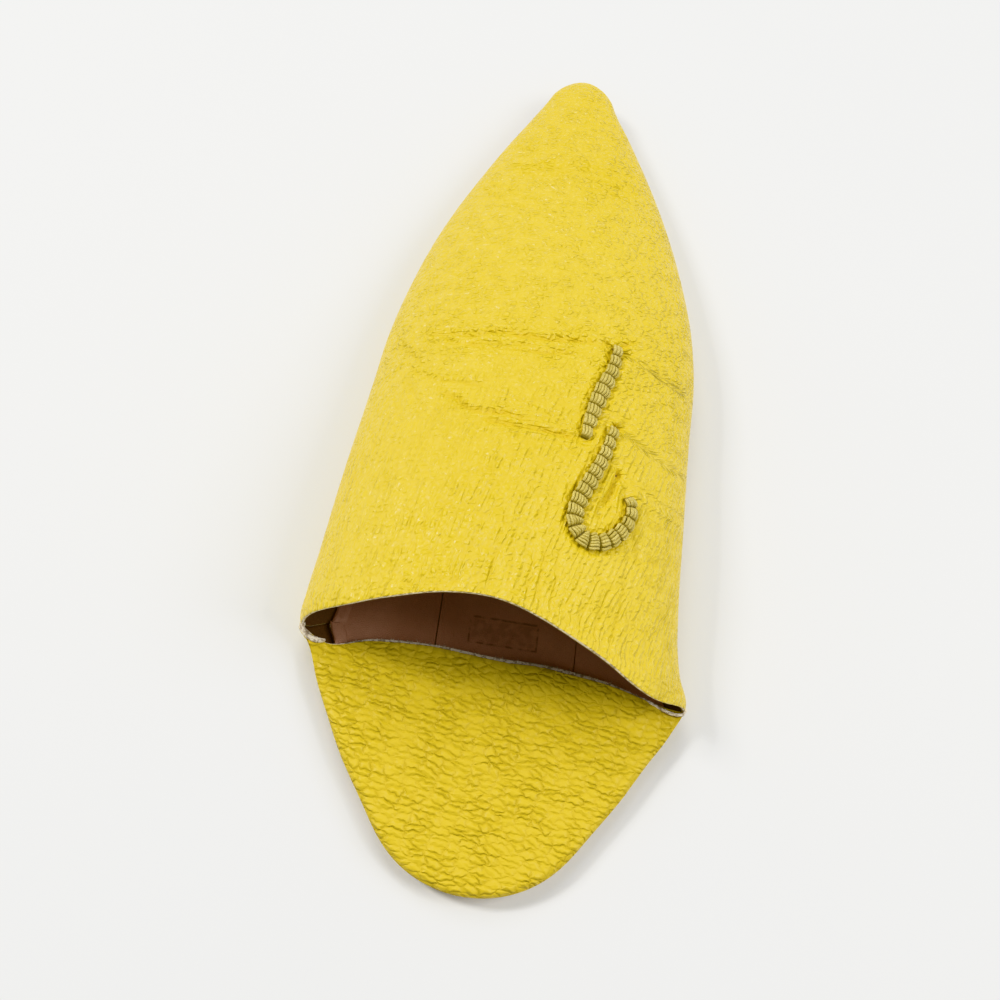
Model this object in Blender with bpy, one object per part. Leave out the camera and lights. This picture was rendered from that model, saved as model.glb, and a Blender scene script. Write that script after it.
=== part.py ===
"""A right babouche slipper of soft leather, empty, with its heel quarter folded flat on the insole.

Metres. +Y runs from the heel to the toe, +X to the outer side and +Z up, from the floor under its middle.
"Along" is a share of LENGTH from the heel tip, and "across" a share of half the ball's width from the
shoe's axis, negative on the inner side. The tables below hold such shares, a row for each section.
"""

from collections import namedtuple

import bmesh
import bpy
import numpy as np

# The last's own sizes
LENGTH = 0.284
BALL_WIDTH = 0.099
INSTEP_HEIGHT = 0.045
TOE_SPRING = 0.004
ARCH_RISE = 0.001
HEEL_ROUND = 0.0335
TOE_ROUND = 0.0095
NOSE_DEPTH = 0.012

# Leather, thread and the room between pieces
OUTSOLE_THICKNESS = 0.0032
INSOLE_THICKNESS = 0.0015
UPPER_WALL = 0.0018
GAP = 0.0003
SIDE_BULGE = 0.006
BULGE_HEIGHT = 0.0068
SEAM_LEDGE = 0.0009
FOLD_ROLL = 0.0026
ROLL_TAPER = 0.17
INNER_SEAM = 0.0217
OUTER_SEAM = 0.0193
LEAST_STRIP = 0.003
THREAD_WIDTH = 0.0052
THREAD_HEIGHT = 0.0022
BLOCK_PINCH = 0.26
BLOCK_ROUNDNESS = 0.6
THREAD_END_HEIGHT = 0.5

# Where the throat's corners lie, and where the sole starts and stops lifting off the floor
INNER_CORNER = 0.231
OUTER_CORNER = 0.2045
HEEL_FLAT_END = 0.26
BALL_FLAT_START = 0.52
SPRING_START = 0.73

HALF_BALL = BALL_WIDTH / 2

# inner, outer: the upper's reach from the axis, as shares of half the ball's width
# bulge: height of that widest line over the outsole, as a share of BULGE_HEIGHT
# inner_inset, outer_inset: how far the outsole's edge lies inside it, as shares of SIDE_BULGE
Plan = namedtuple("Plan", "along inner outer bulge inner_inset outer_inset")
PLAN = (
    Plan(0.00, 0.755, 0.612, 0.27, 0.20, 0.20),
    Plan(0.07, 0.758, 0.632, 0.27, 0.22, 0.22),
    Plan(0.14, 0.951, 0.840, 0.30, 0.45, 0.35),
    Plan(0.18, 1.070, 0.985, 0.44, 0.80, 0.60),
    Plan(0.21, 1.142, 1.058, 0.62, 1.05, 0.80),
    Plan(0.235, 1.225, 1.010, 0.76, 1.25, 0.85),
    Plan(0.26, 1.220, 0.982, 0.88, 1.35, 0.80),
    Plan(0.30, 1.196, 0.966, 0.97, 1.45, 0.80),
    Plan(0.40, 1.144, 0.960, 1.00, 1.45, 0.80),
    Plan(0.50, 1.084, 0.966, 1.00, 1.10, 0.75),
    Plan(0.58, 1.036, 0.974, 1.00, 0.80, 0.70),
    Plan(0.65, 0.955, 0.930, 1.00, 0.68, 0.65),
    Plan(0.70, 0.880, 0.867, 0.98, 0.55, 0.60),
    Plan(0.76, 0.763, 0.770, 0.94, 0.35, 0.52),
    Plan(0.82, 0.620, 0.648, 0.86, 0.12, 0.42),
    Plan(0.87, 0.490, 0.526, 0.76, -0.08, 0.34),
    Plan(0.92, 0.345, 0.390, 0.64, -0.20, 0.26),
    Plan(0.96, 0.230, 0.270, 0.56, -0.20, 0.20),
    Plan(1.00, 0.145, 0.205, 0.50, 0.10, 0.10),
)
HEEL_TIP_ACROSS = -0.07
TOE_TIP_ACROSS = 0.03

# top: height of the ridge over the sole's underside, as a share of INSTEP_HEIGHT
# ridge: its place across; inner_power, outer_power: 2 is an ellipse from the ridge to the widest line,
# and less is flatter
Vamp = namedtuple("Vamp", "along top ridge inner_power outer_power")
VAMP = (
    Vamp(0.19, 1.000, -0.20, 2.00, 1.62),
    Vamp(0.24, 1.000, -0.20, 2.00, 1.64),
    Vamp(0.32, 0.975, -0.18, 2.00, 1.70),
    Vamp(0.42, 0.905, -0.15, 2.00, 1.78),
    Vamp(0.52, 0.815, -0.12, 2.00, 1.85),
    Vamp(0.62, 0.715, -0.08, 1.98, 1.90),
    Vamp(0.72, 0.600, -0.04, 1.95, 1.90),
    Vamp(0.82, 0.470, 0.00, 1.92, 1.88),
    Vamp(0.90, 0.360, 0.02, 1.90, 1.86),
    Vamp(0.96, 0.270, 0.04, 1.88, 1.86),
    Vamp(1.00, 0.205, 0.06, 1.86, 1.86),
)

# rise: how far the edge lies towards the toe from a straight line between the throat's corners
Edge = namedtuple("Edge", "across rise")
THROAT = (
    Edge(-1.20, 0.0),
    Edge(-0.95, 0.0025),
    Edge(-0.70, 0.0119),
    Edge(-0.38, 0.0257),
    Edge(-0.10, 0.0305),
    Edge(0.15, 0.0233),
    Edge(0.40, 0.0089),
    Edge(0.62, -0.0063),
    Edge(0.82, -0.0103),
    Edge(1.04, 0.0),
)
RAW_EDGE = (
    Edge(-1.20, 0.0),
    Edge(-1.09, -0.0097),
    Edge(-0.80, 0.0037),
    Edge(-0.44, 0.0120),
    Edge(-0.10, 0.0130),
    Edge(0.25, 0.0167),
    Edge(0.60, 0.0131),
    Edge(0.95, 0.0009),
    Edge(1.04, 0.0),
)

# Each embroidered bar runs over the vamp through these places, part being the share of its length.
# turn: place round the vamp's section, 0 at the ridge and 1 at the outer widest line
# width: share of THREAD_WIDTH
Stitch = namedtuple("Stitch", "part along turn width")
STROKE = (
    Stitch(0.00, 0.565, 0.320, 0.56),
    Stitch(0.25, 0.534, 0.319, 0.80),
    Stitch(0.50, 0.502, 0.296, 1.00),
    Stitch(0.75, 0.470, 0.277, 0.88),
    Stitch(1.00, 0.438, 0.269, 0.60),
)
STROKE_BLOCKS = 9
HOOK = (
    Stitch(0.00, 0.461, 0.369, 0.56),
    Stitch(0.17, 0.418, 0.344, 0.80),
    Stitch(0.28, 0.392, 0.319, 0.92),
    Stitch(0.39, 0.367, 0.294, 0.99),
    Stitch(0.50, 0.343, 0.292, 1.00),
    Stitch(0.56, 0.333, 0.312, 1.00),
    Stitch(0.62, 0.327, 0.342, 1.00),
    Stitch(0.67, 0.328, 0.376, 0.98),
    Stitch(0.72, 0.332, 0.409, 0.96),
    Stitch(0.79, 0.343, 0.447, 0.92),
    Stitch(0.89, 0.364, 0.483, 0.80),
    Stitch(0.95, 0.378, 0.483, 0.72),
    Stitch(1.00, 0.387, 0.464, 0.58),
)
HOOK_BLOCKS = 19

# Rows and columns of the upper's two sheets
NOSE_ROWS = 7
VAMP_ROWS = 20
ARCH_COLUMNS = 36
TURN_COLUMNS = 3
HEEL_COLUMNS = 13
ROLL_ROWS = 3
FLAP_ROWS = 4
PLATE_ROWS = 30
PLATE_COLUMNS = 6
STRIP_COLUMNS = 3
RINGS_PER_BLOCK = 4
RING_POINTS = 10

# The step of a numerical slope, the number of places tried along a line, and the widest doubled point
SLOPE_STEP = 1e-4
TRIES = 500
WELD = 1e-6


def column(table, name):
    """One column of a table as an array."""
    return np.array([getattr(row, name) for row in table])


def smooth(table, name, at, key="along"):
    """A cubic Hermite curve through a column, with each row's slope read from its neighbours."""
    knots, values = column(table, key), column(table, name)
    slopes = np.gradient(values, knots)
    at = np.clip(at, knots[0], knots[-1])
    row = np.clip(np.searchsorted(knots, at, side="right") - 1, 0, len(knots) - 2)
    step = knots[row + 1] - knots[row]
    u = (at - knots[row]) / step
    start = values[row] * (1 + 2 * u) * (1 - u) ** 2 + slopes[row] * step * u * (1 - u) ** 2
    end = values[row + 1] * u**2 * (3 - 2 * u) - slopes[row + 1] * step * u**2 * (1 - u)
    return start + end


def quarter_round(distance, radius):
    """Height of a quarter circle of unit height that starts at distance 0 and is level from radius on."""
    return np.sqrt(1 - (1 - np.clip(distance / radius, 0, 1)) ** 2)


def lift(along):
    """Height of the outsole's underside over the floor: a low arch at the waist and a spring at the toe."""
    waist = np.clip((along - HEEL_FLAT_END) / (BALL_FLAT_START - HEEL_FLAT_END), 0, 1)
    toe = np.clip((along - SPRING_START) / (1 - SPRING_START), 0, 1)
    return ARCH_RISE * np.sin(np.pi * waist) ** 2 + TOE_SPRING * toe**2


def outline(along, side):
    """The widest line in plan, as x, y and its inward direction; side is -1 inside and 1 outside.

    The table's reach is drawn in to a circle's arc at the heel and at the toe. The tangent is scaled
    by the arc's height, so that it stays finite at the tips.
    """
    along = np.asarray(along, float)
    name = "inner" if side < 0 else "outer"
    reach = smooth(PLAN, name, along) * HALF_BALL
    slope = smooth(PLAN, name, along + SLOPE_STEP) - smooth(PLAN, name, along - SLOPE_STEP)
    slope = slope * HALF_BALL / (2 * SLOPE_STEP * LENGTH)
    at_heel = along < 0.5
    tip = np.where(at_heel, HEEL_TIP_ACROSS, TOE_TIP_ACROSS) * HALF_BALL * side
    radius = np.where(at_heel, HEEL_ROUND, TOE_ROUND)
    from_tip = np.where(at_heel, along, 1 - along) * LENGTH
    height = quarter_round(from_tip, radius)
    growth = np.where(at_heel, 1, -1) * (1 - np.clip(from_tip / radius, 0, 1)) / radius
    x = tip + (reach - tip) * height
    across = slope * height**2 + (reach - tip) * growth
    size = np.hypot(across, height)
    inward = np.stack([-side * height / size, across / size], axis=-1)
    return x * side, along * LENGTH, inward


def inset(along, side, distance):
    """Points of the line that lies the distance inside the widest line, in plan."""
    x, y, inward = outline(along, side)
    return x + distance * inward[..., 0], y + distance * inward[..., 1]


def sole_inset(along, side):
    """How far the outsole's edge lies inside the widest line."""
    name = "inner_inset" if side < 0 else "outer_inset"
    return smooth(PLAN, name, along) * SIDE_BULGE


def seam_inset(along, side):
    """How far the upper's lower edge lies inside the widest line: a ledge inside the outsole's edge."""
    return np.maximum(sole_inset(along, side), 0) + SEAM_LEDGE


def bulge_height(along):
    """Height of the widest line over the floor."""
    return lift(along) + OUTSOLE_THICKNESS + smooth(PLAN, "bulge", along) * BULGE_HEIGHT


def seam_height(along):
    """Height of the upper's lower edge, just over the outsole."""
    return lift(along) + OUTSOLE_THICKNESS + GAP


def arch(along, turn):
    """The vamp over its widest line. Turn runs from -1 at the inner side over the ridge to 1 outside.

    Each half section is a superellipse from the ridge down to the widest line.
    """
    side = np.where(turn < 0, -1, 1)
    inner_x, outer_x = outline(along, -1)[0], outline(along, 1)[0]
    edge_x = np.where(side < 0, inner_x, outer_x)
    middle = (inner_x + outer_x) / 2
    ridge = middle + smooth(VAMP, "ridge", along) * (outer_x - inner_x) / 2
    inner_power, outer_power = smooth(VAMP, "inner_power", along), smooth(VAMP, "outer_power", along)
    power = np.where(side < 0, inner_power, outer_power)
    angle = np.clip(1 - np.abs(turn), 0, 1) * np.pi / 2
    low = bulge_height(along)
    top = lift(along) + smooth(VAMP, "top", along) * INSTEP_HEIGHT
    nose = quarter_round((1 - along) * LENGTH, NOSE_DEPTH)
    x = ridge + (edge_x - ridge) * np.abs(np.cos(angle)) ** (2 / power)
    z = low + (top - low) * nose * np.sin(angle) ** (2 / power)
    return np.stack([x, along * LENGTH, z], axis=-1)


def turned_under(along, side, depth):
    """The upper below its widest line: a quarter ellipse from it, at depth 0, in to its lower edge at 1."""
    angle = depth * np.pi / 2
    x, y = inset(along, side, seam_inset(along, side) * (1 - np.cos(angle)))
    z = bulge_height(along) + (seam_height(along) - bulge_height(along)) * np.sin(angle)
    return np.stack([x, y, z], axis=-1)


def edge_along(table, across):
    """Where the throat or the raw edge lies along the shoe, at a place across."""
    inner, outer = table[0].across, table[-1].across
    line = INNER_CORNER + (OUTER_CORNER - INNER_CORNER) * (across - inner) / (outer - inner)
    return line + smooth(table, "rise", across, key="across")


def vamp_sheet():
    """The vamp as a grid: rows from the throat to the toe, columns from seam to seam over the ridge.

    Each column's place across, where it meets the throat, is read from the section between its corners.
    """
    turns = np.linspace(-1, 1, ARCH_COLUMNS + 1)
    at_throat = (INNER_CORNER + OUTER_CORNER) / 2
    across = arch(np.full_like(turns, at_throat), turns)[:, 0] / HALF_BALL
    throat = edge_along(THROAT, across)
    throat[0], throat[-1] = INNER_CORNER, OUTER_CORNER
    nose_start = 1 - NOSE_DEPTH / LENGTH
    forward = np.linspace(0, 1, VAMP_ROWS)[:, None]
    body = throat + (nose_start - throat) * forward
    round_off = np.sin(np.linspace(0, np.pi / 2, NOSE_ROWS + 1))[1:, None]
    nose = nose_start + (1 - nose_start) * round_off + 0 * throat
    along = np.vstack([body, nose])
    over = arch(along, turns + 0 * along)
    depths = np.linspace(0, 1, TURN_COLUMNS + 1)[1:]
    inside = turned_under(along[:, :1], -1, depths[::-1])
    outside = turned_under(along[:, -1:], 1, depths)
    return np.concatenate([inside, over, outside], axis=1)


def quarter_sheet():
    """The folded quarter as a grid: columns round the heel from corner to corner, rows from the lower
    edge over the rolled fold to the raw edge. The flap's columns run straight along the shoe, and the
    roll narrows to nothing over the last ROLL_TAPER of the way to a corner."""
    spread = 1 - np.cos(np.linspace(0, np.pi / 2, HEEL_COLUMNS + 1))
    inner, outer = spread[::-1] * INNER_CORNER, spread[1:] * OUTER_CORNER
    along = np.concatenate([inner, outer])
    sides = (-1,) * len(inner) + (1,) * len(outer)
    flap_height = OUTSOLE_THICKNESS + INSOLE_THICKNESS + UPPER_WALL + 3 * GAP
    depths = np.linspace(1, 0, TURN_COLUMNS + 1)
    rolls = np.linspace(0, np.pi / 2, ROLL_ROWS + 1)[1:]
    columns = []
    for at, side in zip(along, sides):
        corner = INNER_CORNER if side < 0 else OUTER_CORNER
        under = turned_under(at, side, depths)
        width = FOLD_ROLL * min(1, (1 - at / corner) / ROLL_TAPER)
        x, y = inset(at, side, width * (1 - np.cos(rolls)))
        low = bulge_height(at)
        z = low + (flap_height - low) * np.sin(rolls) * (width / FOLD_ROLL)
        roll = np.stack([x, y, z], axis=-1)
        raw_y = edge_along(RAW_EDGE, x[-1] / HALF_BALL) * LENGTH
        last = np.array([x[-1], max(raw_y, y[-1]), z[-1]])
        forward = np.linspace(0, 1, FLAP_ROWS + 1)[1:, None]
        columns.append(np.concatenate([under, roll, roll[-1] + (last - roll[-1]) * forward]))
    return np.stack(columns, axis=1)


def grid_faces(rows, columns, first=0, flip=False):
    """Quads between neighbouring rows and columns of a grid of points."""
    corner = first + np.arange((rows - 1) * columns).reshape(rows - 1, columns)[:, :-1].ravel()
    quads = np.stack([corner, corner + 1, corner + columns + 1, corner + columns], axis=-1)
    return quads[:, ::-1] if flip else quads


def centre_shift():
    """How far the shoe's axis lies from the middle between its two sides."""
    along = np.linspace(0, 1, TRIES)
    inner, outer = outline(along, -1)[0].min(), outline(along, 1)[0].max()
    return np.array([-(inner + outer) / 2, -LENGTH / 2, 0])


def material(name, colour, roughness):
    """A plain surface: colour in linear red, green and blue."""
    made = bpy.data.materials.new(name)
    made.use_nodes = True
    shader = made.node_tree.nodes["Principled BSDF"]
    shader.inputs["Base Color"].default_value = (*colour, 1)
    shader.inputs["Roughness"].default_value = roughness
    shader.inputs["Metallic"].default_value = 0
    return made


def add_object(name, points, faces, finish):
    """An object from points and faces, with doubled points made one and smooth shading."""
    mesh = bpy.data.meshes.new(name)
    mesh.from_pydata((points + centre_shift()).tolist(), [], faces.tolist())
    form = bmesh.new()
    form.from_mesh(mesh)
    bmesh.ops.remove_doubles(form, verts=form.verts, dist=WELD)
    form.to_mesh(mesh)
    form.free()
    mesh.materials.append(finish)
    mesh.shade_smooth()
    made = bpy.data.objects.new(name, mesh)
    bpy.context.scene.collection.objects.link(made)
    return made


def add_upper(finish):
    """Vamp and folded quarter as one sheet with a slit at the throat, then a wall inwards from it."""
    vamp, quarter = vamp_sheet(), quarter_sheet()
    points = np.concatenate([vamp.reshape(-1, 3), quarter.reshape(-1, 3)])
    first = vamp.shape[0] * vamp.shape[1]
    faces = np.concatenate([
        grid_faces(*vamp.shape[:2]),
        grid_faces(*quarter.shape[:2], first=first),
    ])
    made = add_object("upper", points, faces, finish)
    wall = made.modifiers.new("wall", "SOLIDIFY")
    wall.thickness = UPPER_WALL
    wall.offset = -1
    wall.use_quality_normals = True


def add_plate(name, inner_line, outer_line, bottom, thickness, columns, finish):
    """A plate between two lines in plan, bent to the sole's underside, bottom being its height over that."""
    share = np.linspace(0, 1, columns + 1)[:, None]
    plan = inner_line[:, None] + (outer_line - inner_line)[:, None] * share
    under = lift(plan[..., 1] / LENGTH) + bottom
    lower = np.concatenate([plan, under[..., None]], axis=-1).reshape(-1, 3)
    upper = lower + (0, 0, thickness)
    shape, count = plan.shape[:2], len(lower)
    index = np.arange(count).reshape(shape)
    rim = np.concatenate([index[0, :-1], index[:-1, -1], index[-1, :0:-1], index[:0:-1, 0], index[0, :1]])
    wall = np.stack([rim[:-1], rim[1:], rim[1:] + count, rim[:-1] + count], axis=-1)
    faces = np.concatenate([grid_faces(*shape, flip=True), grid_faces(*shape, first=count), wall])
    add_object(name, np.concatenate([lower, upper]), faces, finish)


def stations(start, end):
    """Stations from start to end, closer together towards both."""
    return start + (end - start) * (1 - np.cos(np.linspace(0, np.pi, PLATE_ROWS + 1))) / 2


def add_outsole(finish):
    """The outsole: one thickness of leather, its edge inside the upper's widest line."""
    along = stations(0, 1)
    lines = [np.stack(inset(along, side, sole_inset(along, side)), axis=-1) for side in (-1, 1)]
    add_plate("outsole", *lines, 0, OUTSOLE_THICKNESS, PLATE_COLUMNS, finish)


def insole_edge(along, side):
    """The insole's edge in plan, inside the upper's wall."""
    return np.stack(inset(along, side, seam_inset(along, side) + UPPER_WALL + GAP), axis=-1)


def add_insoles(finish):
    """The insole's three strips, butted along two straight lengthwise seams."""
    bottom = OUTSOLE_THICKNESS + GAP
    seams = (-INNER_SEAM, OUTER_SEAM)
    lines = []
    for side, seam in zip((-1, 1), seams):
        line = insole_edge(stations(0, 1), side)
        line[:, 0] = side * np.minimum(side * line[:, 0], side * seam - GAP / 2)
        lines.append(line)
    add_plate("insole_centre", *lines, bottom, INSOLE_THICKNESS, PLATE_COLUMNS, finish)
    for name, side, seam in zip(("insole_inner", "insole_outer"), (-1, 1), seams):
        along = np.linspace(0, 1, TRIES)
        wide = side * (insole_edge(along, side)[:, 0] - seam) > LEAST_STRIP
        edge = insole_edge(stations(along[wide][0], along[wide][-1]), side)
        inside = edge.copy()
        inside[:, 0] = seam + side * GAP / 2
        strip = (edge, inside) if side < 0 else (inside, edge)
        add_plate(name, *strip, bottom, INSOLE_THICKNESS, STRIP_COLUMNS, finish)


def add_bar(name, table, blocks, finish):
    """A raised bar of thread over the vamp: a flat oval tube that is pinched between its blocks.

    Its half width is the table's, times a curve that falls by BLOCK_PINCH between two blocks, and its
    height falls to THREAD_END_HEIGHT of THREAD_HEIGHT as its width falls to nothing. It stands on the
    vamp, its bottom a gap over it, and its rings lie square to its path.
    """
    part = np.linspace(0, 1, blocks * RINGS_PER_BLOCK + 1)
    along, turn, width = (smooth(table, name, part, key="part") for name in ("along", "turn", "width"))
    path = arch(along, turn)
    normal = np.cross(arch(along, turn + SLOPE_STEP) - path, arch(along + SLOPE_STEP, turn) - path)
    normal /= np.linalg.norm(normal, axis=1)[:, None]
    forward = np.gradient(path, axis=0)
    across = np.cross(forward, normal)
    across /= np.linalg.norm(across, axis=1)[:, None]
    fullness = 1 - BLOCK_PINCH * (1 - np.abs(np.sin(np.pi * part * blocks)) ** BLOCK_ROUNDNESS)
    half_width = THREAD_WIDTH / 2 * width * fullness
    half_height = THREAD_HEIGHT / 2 * (THREAD_END_HEIGHT + (1 - THREAD_END_HEIGHT) * width) * fullness
    around = np.linspace(0, 2 * np.pi, RING_POINTS, endpoint=False)
    centre = path + normal * (GAP + half_height)[:, None]
    rings = (
        centre[:, None]
        + across[:, None] * (half_width[:, None] * np.cos(around))[..., None]
        + normal[:, None] * (half_height[:, None] * np.sin(around))[..., None]
    )
    closed = np.concatenate([rings, rings[:, :1]], axis=1)
    ends = [np.repeat(row.mean(axis=0)[None, None], RING_POINTS + 1, axis=1) for row in (rings[0], rings[-1])]
    tube = np.concatenate([ends[0], closed, ends[1]])
    add_object(name, tube.reshape(-1, 3), grid_faces(*tube.shape[:2], flip=True), finish)


def main():
    """Clear the scene and build every piece."""
    for old in list(bpy.data.objects):
        bpy.data.objects.remove(old)
    yellow = material("yellow leather", (0.78, 0.60, 0.03), 0.42)
    natural = material("natural leather", (0.55, 0.42, 0.29), 0.6)
    tan = material("tan leather", (0.36, 0.19, 0.10), 0.65)
    thread = material("khaki thread", (0.45, 0.38, 0.13), 0.5)
    add_outsole(natural)
    add_insoles(tan)
    add_upper(yellow)
    add_bar("embroidery_stroke", STROKE, STROKE_BLOCKS, thread)
    add_bar("embroidery_hook", HOOK, HOOK_BLOCKS, thread)


main()
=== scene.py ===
"""The looks of a right babouche slipper of soft yellow leather, empty, with its heel quarter folded flat.

Metres. +Y runs from the heel to the toe, +X to the outer side and +Z up, from the floor under its middle.
"Along" is a share of LENGTH from the heel tip, and "across" a share of half the ball's width from the
shoe's axis, negative on the inner side. "Turn" is a place round the vamp's section, from -1 at the inner
widest line over the ridge, 0, to 1 at the outer one.
"""

from collections import namedtuple

import bmesh
import bpy
import numpy as np
from mathutils import Matrix, Vector


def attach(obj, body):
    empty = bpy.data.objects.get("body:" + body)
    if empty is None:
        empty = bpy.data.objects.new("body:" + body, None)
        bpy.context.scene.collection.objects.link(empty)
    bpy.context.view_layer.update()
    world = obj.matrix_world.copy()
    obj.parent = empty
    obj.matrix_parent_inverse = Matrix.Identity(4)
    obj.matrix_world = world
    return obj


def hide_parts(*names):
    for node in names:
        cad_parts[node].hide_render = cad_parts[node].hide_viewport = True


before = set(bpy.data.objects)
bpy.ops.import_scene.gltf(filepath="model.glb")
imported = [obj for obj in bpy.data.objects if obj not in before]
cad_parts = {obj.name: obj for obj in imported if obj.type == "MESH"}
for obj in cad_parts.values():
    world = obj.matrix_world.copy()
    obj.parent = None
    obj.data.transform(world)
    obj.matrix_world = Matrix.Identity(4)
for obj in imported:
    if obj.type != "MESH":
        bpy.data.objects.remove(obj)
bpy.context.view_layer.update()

MM = 0.001


def columns_of(fields, *rows):
    """The rows' columns as arrays, by name."""
    return dict(zip(fields.split(), np.array(rows).T))


# The last's own sizes
LENGTH = 0.284
BALL_WIDTH = 0.099
INSTEP_HEIGHT = 0.045
TOE_SPRING = 0.004
ARCH_RISE = 0.001
HEEL_ROUND = 0.0335
TOE_ROUND = 0.0095
NOSE_DEPTH = 0.012

# Leather, thread and the room between pieces
OUTSOLE_THICKNESS = 0.0032
INSOLE_THICKNESS = 0.0015
UPPER_WALL = 0.0018
GAP = 0.0003
SIDE_BULGE = 0.006
BULGE_HEIGHT = 0.0068
SEAM_LEDGE = 0.0009
FOLD_ROLL = 0.0026
ROLL_TAPER = 0.17
THREAD_WIDTH = 0.0052
THREAD_HEIGHT = 0.0022
BLOCK_PINCH = 0.26
THREADS_ACROSS = 5.6
THREAD_SWING = 0.16 * MM
THREAD_SINK = 0.45 * MM

# Where the throat's corners lie, and where the sole starts and stops lifting off the floor
INNER_CORNER = 0.231
OUTER_CORNER = 0.2045
HEEL_FLAT_END = 0.26
BALL_FLAT_START = 0.52
SPRING_START = 0.73

HALF_BALL = BALL_WIDTH / 2

# inner, outer: the upper's reach from the axis, as shares of half the ball's width
# bulge: height of that widest line over the outsole, as a share of BULGE_HEIGHT
# inner_inset, outer_inset: how far the outsole's edge lies inside it, as shares of SIDE_BULGE
PLAN = columns_of(
    "along inner outer bulge inner_inset outer_inset",
    (0.00, 0.755, 0.612, 0.27, 0.20, 0.20),
    (0.07, 0.758, 0.632, 0.27, 0.22, 0.22),
    (0.14, 0.951, 0.840, 0.30, 0.45, 0.35),
    (0.18, 1.070, 0.985, 0.44, 0.80, 0.60),
    (0.21, 1.142, 1.058, 0.62, 1.05, 0.80),
    (0.235, 1.225, 1.010, 0.76, 1.25, 0.85),
    (0.26, 1.220, 0.982, 0.88, 1.35, 0.80),
    (0.30, 1.196, 0.966, 0.97, 1.45, 0.80),
    (0.40, 1.144, 0.960, 1.00, 1.45, 0.80),
    (0.50, 1.084, 0.966, 1.00, 1.10, 0.75),
    (0.58, 1.036, 0.974, 1.00, 0.80, 0.70),
    (0.65, 0.955, 0.930, 1.00, 0.68, 0.65),
    (0.70, 0.880, 0.867, 0.98, 0.55, 0.60),
    (0.76, 0.763, 0.770, 0.94, 0.35, 0.52),
    (0.82, 0.620, 0.648, 0.86, 0.12, 0.42),
    (0.87, 0.490, 0.526, 0.76, -0.08, 0.34),
    (0.92, 0.345, 0.390, 0.64, -0.20, 0.26),
    (0.96, 0.230, 0.270, 0.56, -0.20, 0.20),
    (1.00, 0.145, 0.205, 0.50, 0.10, 0.10),
)
HEEL_TIP_ACROSS = -0.07
TOE_TIP_ACROSS = 0.03

# top: height of the ridge over the sole's underside, as a share of INSTEP_HEIGHT
# ridge: its place across; inner_power, outer_power: 2 is an ellipse from the ridge to the widest line,
# and less is flatter
VAMP = columns_of(
    "along top ridge inner_power outer_power",
    (0.19, 1.000, -0.20, 2.00, 1.62),
    (0.24, 1.000, -0.20, 2.00, 1.64),
    (0.32, 0.975, -0.18, 2.00, 1.70),
    (0.42, 0.905, -0.15, 2.00, 1.78),
    (0.52, 0.815, -0.12, 2.00, 1.85),
    (0.62, 0.715, -0.08, 1.98, 1.90),
    (0.72, 0.600, -0.04, 1.95, 1.90),
    (0.82, 0.470, 0.00, 1.92, 1.88),
    (0.90, 0.360, 0.02, 1.90, 1.86),
    (0.96, 0.270, 0.04, 1.88, 1.86),
    (1.00, 0.205, 0.06, 1.86, 1.86),
)

# rise: how far the edge lies towards the toe from a straight line between the throat's corners
THROAT = columns_of(
    "across rise",
    (-1.20, 0.0), (-0.95, 0.0025), (-0.70, 0.0119), (-0.38, 0.0257), (-0.10, 0.0305),
    (0.15, 0.0233), (0.40, 0.0089), (0.62, -0.0063), (0.82, -0.0103), (1.04, 0.0),
)
RAW_EDGE = columns_of(
    "across rise",
    (-1.20, 0.0), (-1.09, -0.0097), (-0.80, 0.0037), (-0.44, 0.0120), (-0.10, 0.0130),
    (0.25, 0.0167), (0.60, 0.0131), (0.95, 0.0009), (1.04, 0.0),
)

# Each embroidered bar runs over the vamp through these places, part being the share of its length.
# turn: place round the vamp's section, 0 at the ridge and 1 at the outer widest line
# width: share of THREAD_WIDTH
STROKE = columns_of(
    "part along turn width",
    (0.00, 0.565, 0.320, 0.56),
    (0.25, 0.534, 0.319, 0.80),
    (0.50, 0.502, 0.296, 1.00),
    (0.75, 0.470, 0.277, 0.88),
    (1.00, 0.438, 0.269, 0.60),
)
STROKE_BLOCKS = 9
HOOK = columns_of(
    "part along turn width",
    (0.00, 0.461, 0.369, 0.56),
    (0.17, 0.418, 0.344, 0.80),
    (0.28, 0.392, 0.319, 0.92),
    (0.39, 0.367, 0.294, 0.99),
    (0.50, 0.343, 0.292, 1.00),
    (0.56, 0.333, 0.312, 1.00),
    (0.62, 0.327, 0.342, 1.00),
    (0.67, 0.328, 0.376, 0.98),
    (0.72, 0.332, 0.409, 0.96),
    (0.79, 0.343, 0.447, 0.92),
    (0.89, 0.364, 0.483, 0.80),
    (0.95, 0.378, 0.483, 0.72),
    (1.00, 0.387, 0.464, 0.58),
)
HOOK_BLOCKS = 19

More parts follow.
